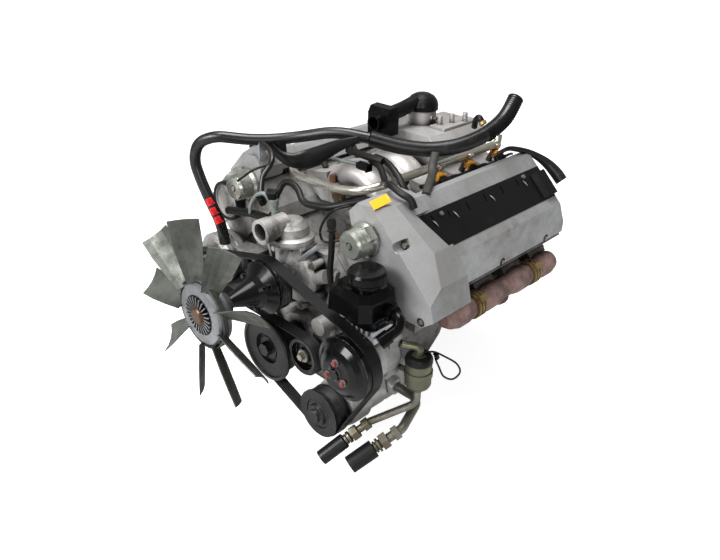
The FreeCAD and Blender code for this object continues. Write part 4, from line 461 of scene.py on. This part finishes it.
def hose(name, look, points, size=None, flat=1.0, sides=18, body="engine"):
    """Smooth hose, lead or strap through the points; size is its half width, if the points don't give it."""
    sized = [tuple(v) + (size,) if len(v) == 3 else v for v in points]
    return grow(name, line_mesh(name, smooth_line(sized)), HOSE_TREE,
                {"Sides": sides, "Flatness": flat, "Material": MATERIALS[look]}, body)


def rings(name, look, points, spacing, radius, thickness, body="engine"):
    sized = [tuple(v) + (1.0,) for v in points]
    return grow(name, line_mesh(name, smooth_line(sized)), RINGS_TREE, {
        "Spacing": spacing * MM, "Radius": radius * MM, "Thickness": thickness * MM,
        "Material": MATERIALS[look]}, body)


def turn_to(way):
    """Rotation whose Z runs along way and whose Y stays near the part's Z."""
    z = Vector(way).normalized()
    x = Vector((0.0, 0.0, 1.0)).cross(z)
    if x.length < 1e-4:
        x = Vector((1.0, 0.0, 0.0))
    x.normalize()
    return Matrix((x, z.cross(x), z)).transposed().to_4x4()


def bank_place(across, y, height, side=1):
    """Point on a bank, in metres. The right bank stands 24 mm further back."""
    s = math.sqrt(0.5)
    shift = 0 if side > 0 else BANK_STAGGER
    return Vector((side * (height + across) * s, y + shift, (height - across) * s)) * MM


def turned(name, look, base, way, profile, sides=40, body="engine"):
    """Turned piece: profile lists (radius, distance along way) in millimetres."""
    mesh = bpy.data.meshes.new(name)
    bm = bmesh.new()
    loops = []
    for radius, reach in profile:
        loop = []
        for k in range(sides):
            a = 2 * math.pi * k / sides
            loop.append(bm.verts.new((radius * math.cos(a), radius * math.sin(a), reach)))
        loops.append(loop)
    for a, b in zip(loops, loops[1:]):
        for k in range(sides):
            bm.faces.new((a[k], a[(k + 1) % sides], b[(k + 1) % sides], b[k]))
    bm.faces.new(list(reversed(loops[0])))
    bm.faces.new(loops[-1])
    bmesh.ops.remove_doubles(bm, verts=bm.verts, dist=0.001)
    bmesh.ops.recalc_face_normals(bm, faces=bm.faces)
    bm.transform(Matrix.Translation(Vector(base) * MM) @ turn_to(way) @ Matrix.Scale(MM, 4))
    bm.to_mesh(mesh)
    bm.free()
    mesh.materials.append(MATERIALS[look])
    return place_mesh(name, mesh, body)


def plug(name, look, centre, way, size, body="engine"):
    """Moulded connector: body with a collar, side ribs and a latch, its length along way."""
    wide, high, long = size
    boxes = [((0, 0, 0), (wide, high, long)), ((0, 0, long * 0.42), (wide * 1.16, high * 1.16, long * 0.16)),
             ((0, high * 0.56, -long * 0.05), (wide * 0.4, high * 0.2, long * 0.6)),
             ((wide * 0.52, 0, -long * 0.1), (wide * 0.12, high * 0.5, long * 0.5)),
             ((-wide * 0.52, 0, -long * 0.1), (wide * 0.12, high * 0.5, long * 0.5))]
    mesh = bpy.data.meshes.new(name)
    bm = bmesh.new()
    for spot, box in boxes:
        made = bmesh.ops.create_cube(bm, size=1.0)["verts"]
        bmesh.ops.scale(bm, vec=box, verts=made)
        bmesh.ops.translate(bm, vec=spot, verts=made)
        edges = {e for v in made for e in v.link_edges}
        bmesh.ops.bevel(bm, geom=list(edges), offset=min(box) * 0.14, segments=2, affect="EDGES")
    bm.transform(Matrix.Translation(Vector(centre) * MM) @ turn_to(way) @ Matrix.Scale(MM, 4))
    bmesh.ops.recalc_face_normals(bm, faces=bm.faces)
    bm.to_mesh(mesh)
    bm.free()
    mesh.materials.append(MATERIALS[look])
    return place_mesh(name, mesh, body)


# Harness: rings on its rear end, clip, shield, leads and plugs

HARNESS = [(-212, -612, 160), (-222, -614, 212), (-243, -618, 248), (-268, -624, 300), (-284, -627, 345),
           (-268, -622, 388), (-233, -600, 405), (-183, -548, 397), (-152, -505, 395), (-110, -465, 402),
           (-41, -425, 421), (25, -385, 412), (75, -345, 396), (121, -300, 389), (160, -250, 396),
           (182, -185, 413), (185, -125, 437), (180, -82, 472)]
rings("harness_conduit_rings", "satin_black", HARNESS[15:], 5.5, 16.6, 1.5)
plug("harness_clip", "satin_black", (-146, -504, 379), (1, 0.2, 0.1), (24, 24, 38))
hose("clip_lead", "tape", [(-172, -529, 392), (-124, -538, 385), (-98, -556, 370), (-101, -578, 343),
                           (-90, -594, 312)], 6.0)
hose("adjuster_lead", "rubber", [(-100, -560, 364), (-122, -584, 354), (-146, -597, 334),
                                 (-160, -602, 322)], 2.6)
hose("harness_shield", "satin_black", [
    (30, -425, 420, 2), (-4, -450, 404, 3.6), (-30, -480, 386, 5.2), (-52, -504, 374, 5.6),
    (-74, -518, 370, 4.6), (-98, -526, 374, 3.6), (-124, -524, 380, 3.6), (-146, -512, 382, 3)], flat=3.6)
hose("breather_pipe", "sensor", [(14, -392, 405), (-20, -415, 399), (-50, -430, 382), (-52, -436, 368),
                                 (-20, -438, 366), (20, -434, 368), (51, -430, 370)], 4.2)
hose("vacuum_hose", "rubber", [(2, -428, 391), (40, -432, 392), (80, -432, 392), (104, -430, 391)], 7.5)
plug("vacuum_hose_joint", "satin_black", (60, -440, 372), (1, 0, 0), (16, 14, 34))
hose("crossing_hose", "rubber", [(66, -425, 384), (106, -440, 382), (150, -470, 369), (186, -498, 382),
                                 (222, -505, 376), (241, -500, 368), (250, -498, 352)], 7.0)
hose("flat_lead", "strap", [(150, -318, 396), (157, -334, 372), (172, -352, 362), (196, -392, 356),
                            (212, -418, 349)], 9.0, flat=0.42)
for k, (x, y, z) in enumerate(((-226, -634, 264), (-212, -636, 246), (-200, -634, 228))):
    plug("charge_lead_plug_%d" % (k + 1), "red", (x, y, z), (0.5, 0.1, -0.85), (13, 11, 17))
hose("charge_lead", "rubber", [(-200, -634, 226), (-190, -634, 204), (-178, -628, 178)], 5.0)

# Front of the engine: sensors, hoses and plugs round the thermostat housing

hose("vent_pipe", "sensor", [(-119, -602, 250), (-116, -606, 268), (-105, -608, 292), (-88, -606, 312),
                             (-70, -602, 319), (-58, -598, 308)], 4.5)
hose("heater_stub_hose", "rubber", [(-206, -600, 240), (-157, -602, 252), (-112, -600, 260),
                                    (-60, -596, 262)], 9.0)
turned("coolant_sensor", "sensor", (-50, -590, 276), (0, -0.1, 1),
       [(0, 0), (9, 0), (9, 9), (7, 10), (7, 20), (10, 21), (10, 33), (8, 35), (0, 35)], 24)
plug("coolant_sensor_plug", "satin_black", (-52, -596, 320), (0.2, -0.3, 1), (18, 14, 20))
plug("thermostat_switch_plug", "satin_black", (-84, -598, 300), (-0.3, -0.2, 1), (15, 13, 24))
turned("temperature_sender", "copper", (-46, -428, 292), (0, 0, 1),
       [(0, 0), (8, 0), (8, 7), (5.5, 8), (5.5, 12), (7.5, 13), (7.5, 28), (6, 30), (0, 30)], 6)
turned("sender_boss", "intake", (-46, -414, 296), (0, -1, 0),
       [(0, 0), (11, 0), (11, 18), (9, 22), (0, 22)], 24)
plug("ignition_plug", "brown", (-20, -436, 280), (1, 0, 0.1), (12, 12, 34))
hose("pump_hose", "rubber", [(124, -592, 290), (126, -596, 250), (124, -598, 215), (119, -592, 178)], 6.5)
plug("adjuster_plug", "satin_black", (112, -582, 300), (0.3, -0.2, -1), (15, 13, 26))
plug("adjuster_plug_socket", "brown", (124, -584, 279), (0.6, -0.2, -0.8), (13, 11, 20))
hose("adjuster_wire", "rubber", [(112, -584, 262), (92, -588, 262), (86, -588, 282), (100, -586, 312),
                                 (120, -578, 334), (140, -560, 342)], 2.6)
# plain disc over the outer cam of the right bank
face = bank_place(18, -581, 352, -1) / MM
turned("cam_end_cover", "housing", face, (0, -1, 0),
       [(0, -2), (44, -2), (44, 8), (41, 10), (36, 10), (35, 7), (0, 7)], 48)
turned("cam_end_seal", "rubber", face, (0, -1, 0),
       [(40, -1), (47, -1), (47, 11), (44, 13), (40, 12), (40, -1)], 48)

# Left bank: injector leads between rail and cover, rear conduit, silver ribs painted as glints on the cover,
# and patch

INJECTOR_X = 128


def injector_lead(k, y):
    x = INJECTOR_X
    turned("injector_collar_%d" % k, "rail", (x + 2, y - 2, 334), (0.36, 0, 1),
           [(0, 0), (9, 0), (9, 5), (6.5, 6), (6.5, 16), (8, 17), (8, 24), (6.5, 25), (0, 25)], 20)
    plug("injector_plug_%d" % k, "amber", (x + 17, y - 12, 333), (0.8, -0.35, 0.1), (19, 16, 22))
    plug("injector_latch_%d" % k, "satin_black", (x + 34, y - 19, 333), (0.8, -0.35, 0.1), (15, 13, 14))
    hose("injector_wire_%d" % k, "rubber", [(x + 38, y - 20, 334), (x + 42, y - 4, 338),
                                            (x + 36, y + 16, 334), (x + 28, y + 34, 328)], 3.2)


for k, y in enumerate((-66, -172, -278)):
    injector_lead(k + 1, y)
hose("injector_loom", "tape", [(172, -128, 348), (164, -112, 328), (158, -170, 326), (158, -230, 326),
                               (156, -300, 326), (150, -360, 330)], 5.0)
hose("rear_conduit", "tape", [(172, -130, 348, 5), (191, -115, 366, 5), (197, -87, 362, 6),
                              (212, -45, 347, 7), (236, -13, 323, 11), (258, 0, 301, 14), (276, 3, 283, 14)])


# small silver ribs on the face of the left lead cover: their bright metal is a painted highlight for the
# glints at its slots
COVER_FACE_H = 397.5
for k, y in enumerate((-442, -377, -252, -128)):
    blade = [tuple(bank_place(across, y + shift, COVER_FACE_H + rise) / MM) + (size,)
             for across, shift, rise, size in ((-42, 0, 0.2, 0.6), (-34, 3, 1.2, 2.6), (-26, 6, 0.2, 0.6))]
    hose("lead_cover_glint_rib_%d" % (k + 1), "silver", blade, flat=0.5, sides=10)


# The slope of the left timing cover under the patch: its ends along Y, and its height at each.
SLOPE_Y = (-580, -518)
SLOPE_H = (404, 424)
PATCH_LIFT = 0.5
PATCH_THICKNESS = 0.0008


def foil_patch():
    """Plain yellow patch on the slope of the left timing cover."""
    corners = []
    for across, y in ((-120, -572), (-102, -572), (-102, -534), (-120, -534)):
        height = SLOPE_H[0] + (y - SLOPE_Y[0]) / (SLOPE_Y[1] - SLOPE_Y[0]) * (SLOPE_H[1] - SLOPE_H[0])
        corners.append(bank_place(across, y, min(height, SLOPE_H[1]) + PATCH_LIFT))
    mesh = bpy.data.meshes.new("foil_patch")
    mesh.from_pydata(corners, [], [(0, 1, 2, 3)])
    mesh.materials.append(MATERIALS["patch"])
    sheet = bpy.data.objects.new("foil_patch", mesh)
    bpy.context.scene.collection.objects.link(sheet)
    thick = sheet.modifiers.new("thickness", "SOLIDIFY")
    thick.thickness = PATCH_THICKNESS
    bpy.context.view_layer.update()
    baked = bpy.data.meshes.new_from_object(sheet.evaluated_get(bpy.context.evaluated_depsgraph_get()))
    bpy.data.objects.remove(sheet)
    return place_mesh("foil_patch", baked)


foil_patch()

# Receiver's switch and wire, lower radiator hose behind the fan, vent hose on the intake

hose("switch_wire", "rubber", [(326, -540, 84), (330, -512, 74), (340, -488, 56), (360, -474, 42),
                               (370, -474, 26), (358, -480, 6), (342, -490, 10), (334, -498, 34),
                               (332, -508, 56)], 2.0)
turned("receiver_cap", "rubber", (320, -545, 63), (0, 0, 1),
       [(17, 0), (28, 0), (28, 8), (25, 14), (17, 16), (14.5, 16), (14.5, 5), (17, 0)], 36)
plug("switch_plug", "satin_black", (332, -505, 62), (0, -0.4, 1), (9, 8, 16))
hose("radiator_hose", "rubber", [(-60, -598, 130), (-120, -600, 92), (-190, -602, 60), (-262, -622, 40),
                                 (-300, -672, 60), (-300, -716, 108), (-294, -728, 165)], 17.0, sides=28)
turned("radiator_hose_clip", "rail", (-294, -728, 150), (0, 0, 1),
       [(17.2, 0), (19, 0), (19, 9), (17.2, 9), (17.2, 0)], 28)
hose("tank_vent_hose", "rubber", [(86, -96, 390), (92, -100, 410), (104, -104, 418), (116, -104, 404)], 7.0)
turned("tank_vent_clip", "brass", (112, -104, 410), (0.7, 0, -0.7),
       [(7.2, 0), (9, 0), (9, 7), (7.2, 7), (7.2, 0)], 20)


# Studio: pale floor, soft lamps

FLOOR_HALF = 9.0
FLOOR_DROP = 0.001
FLOOR_GREY = (0.6, 0.6, 0.6, 1.0)
FLOOR_LIFT = 0.86
SKY_LEVEL = 0.26
GLOSS_LEVEL = 0.36
# name, place, aim (metres), size (metres), power (watts)
LAMPS = (
    ("key", (-0.3, -3.1, 1.9), (0.0, -0.5, 0.15), (1.5, 1.1), 135.0),
    ("side", (2.2, -2.4, 1.0), (0.1, -0.6, 0.0), (0.9, 0.9), 16.0),
    ("top", (-0.2, -0.5, 2.9), (0.0, -0.4, 0.2), (1.5, 1.5), 105.0),
)


def make_stage():
    low = CAD_BOX[0].z - FLOOR_DROP
    half = FLOOR_HALF
    mesh = bpy.data.meshes.new("floor")
    mesh.from_pydata([(-half, -half, low), (half, -half, low), (half, half, low), (-half, half, low)], [],
                     [(0, 1, 2, 3)])
    floor = bpy.data.objects.new("floor", mesh)
    bpy.context.scene.collection.objects.link(floor)
    paint = bpy.data.materials.new("pale_studio_floor")
    paint.use_nodes = True
    tree = paint.node_tree
    shader = tree.nodes["Principled BSDF"]
    shader.inputs["Base Color"].default_value = FLOOR_GREY
    shader.inputs["Roughness"].default_value = 0.9
    shader.inputs["Emission Color"].default_value = (1.0, 1.0, 1.0, 1.0)
    seen = add(tree, "ShaderNodeLightPath").outputs["Is Camera Ray"]
    tree.links.new(product(tree, seen, FLOOR_LIFT), shader.inputs["Emission Strength"])
    mesh.materials.append(paint)


def make_lamp(name, place, aim, size, power):
    data = bpy.data.lights.new(name, "AREA")
    data.shape = "RECTANGLE"
    data.size = size[0]
    data.size_y = size[1]
    data.energy = power
    lamp = bpy.data.objects.new(name, data)
    way = Vector(aim) - Vector(place)
    lamp.matrix_world = Matrix.Translation(place) @ way.to_track_quat("-Z", "Y").to_matrix().to_4x4()
    bpy.context.scene.collection.objects.link(lamp)


def make_world():
    world = bpy.data.worlds.new("studio")
    world.use_nodes = True
    tree = world.node_tree
    shade = tree.nodes["Background"]
    shade.inputs["Color"].default_value = (1.0, 1.0, 1.0, 1.0)
    path = add(tree, "ShaderNodeLightPath").outputs
    level = add(tree, "ShaderNodeMath", {0: path["Is Glossy Ray"], 1: GLOSS_LEVEL - SKY_LEVEL, 2: SKY_LEVEL},
                operation="MULTIPLY_ADD").outputs[0]
    level = add(tree, "ShaderNodeMath", {0: path["Is Camera Ray"], 1: level}, operation="MAXIMUM").outputs[0]
    tree.links.new(level, shade.inputs["Strength"])
    bpy.context.scene.world = world


make_stage()
for lamp in LAMPS:
    make_lamp(*lamp)
make_world()
bpy.context.scene.view_settings.view_transform = "Standard"
bpy.context.scene.view_settings.look = "None"
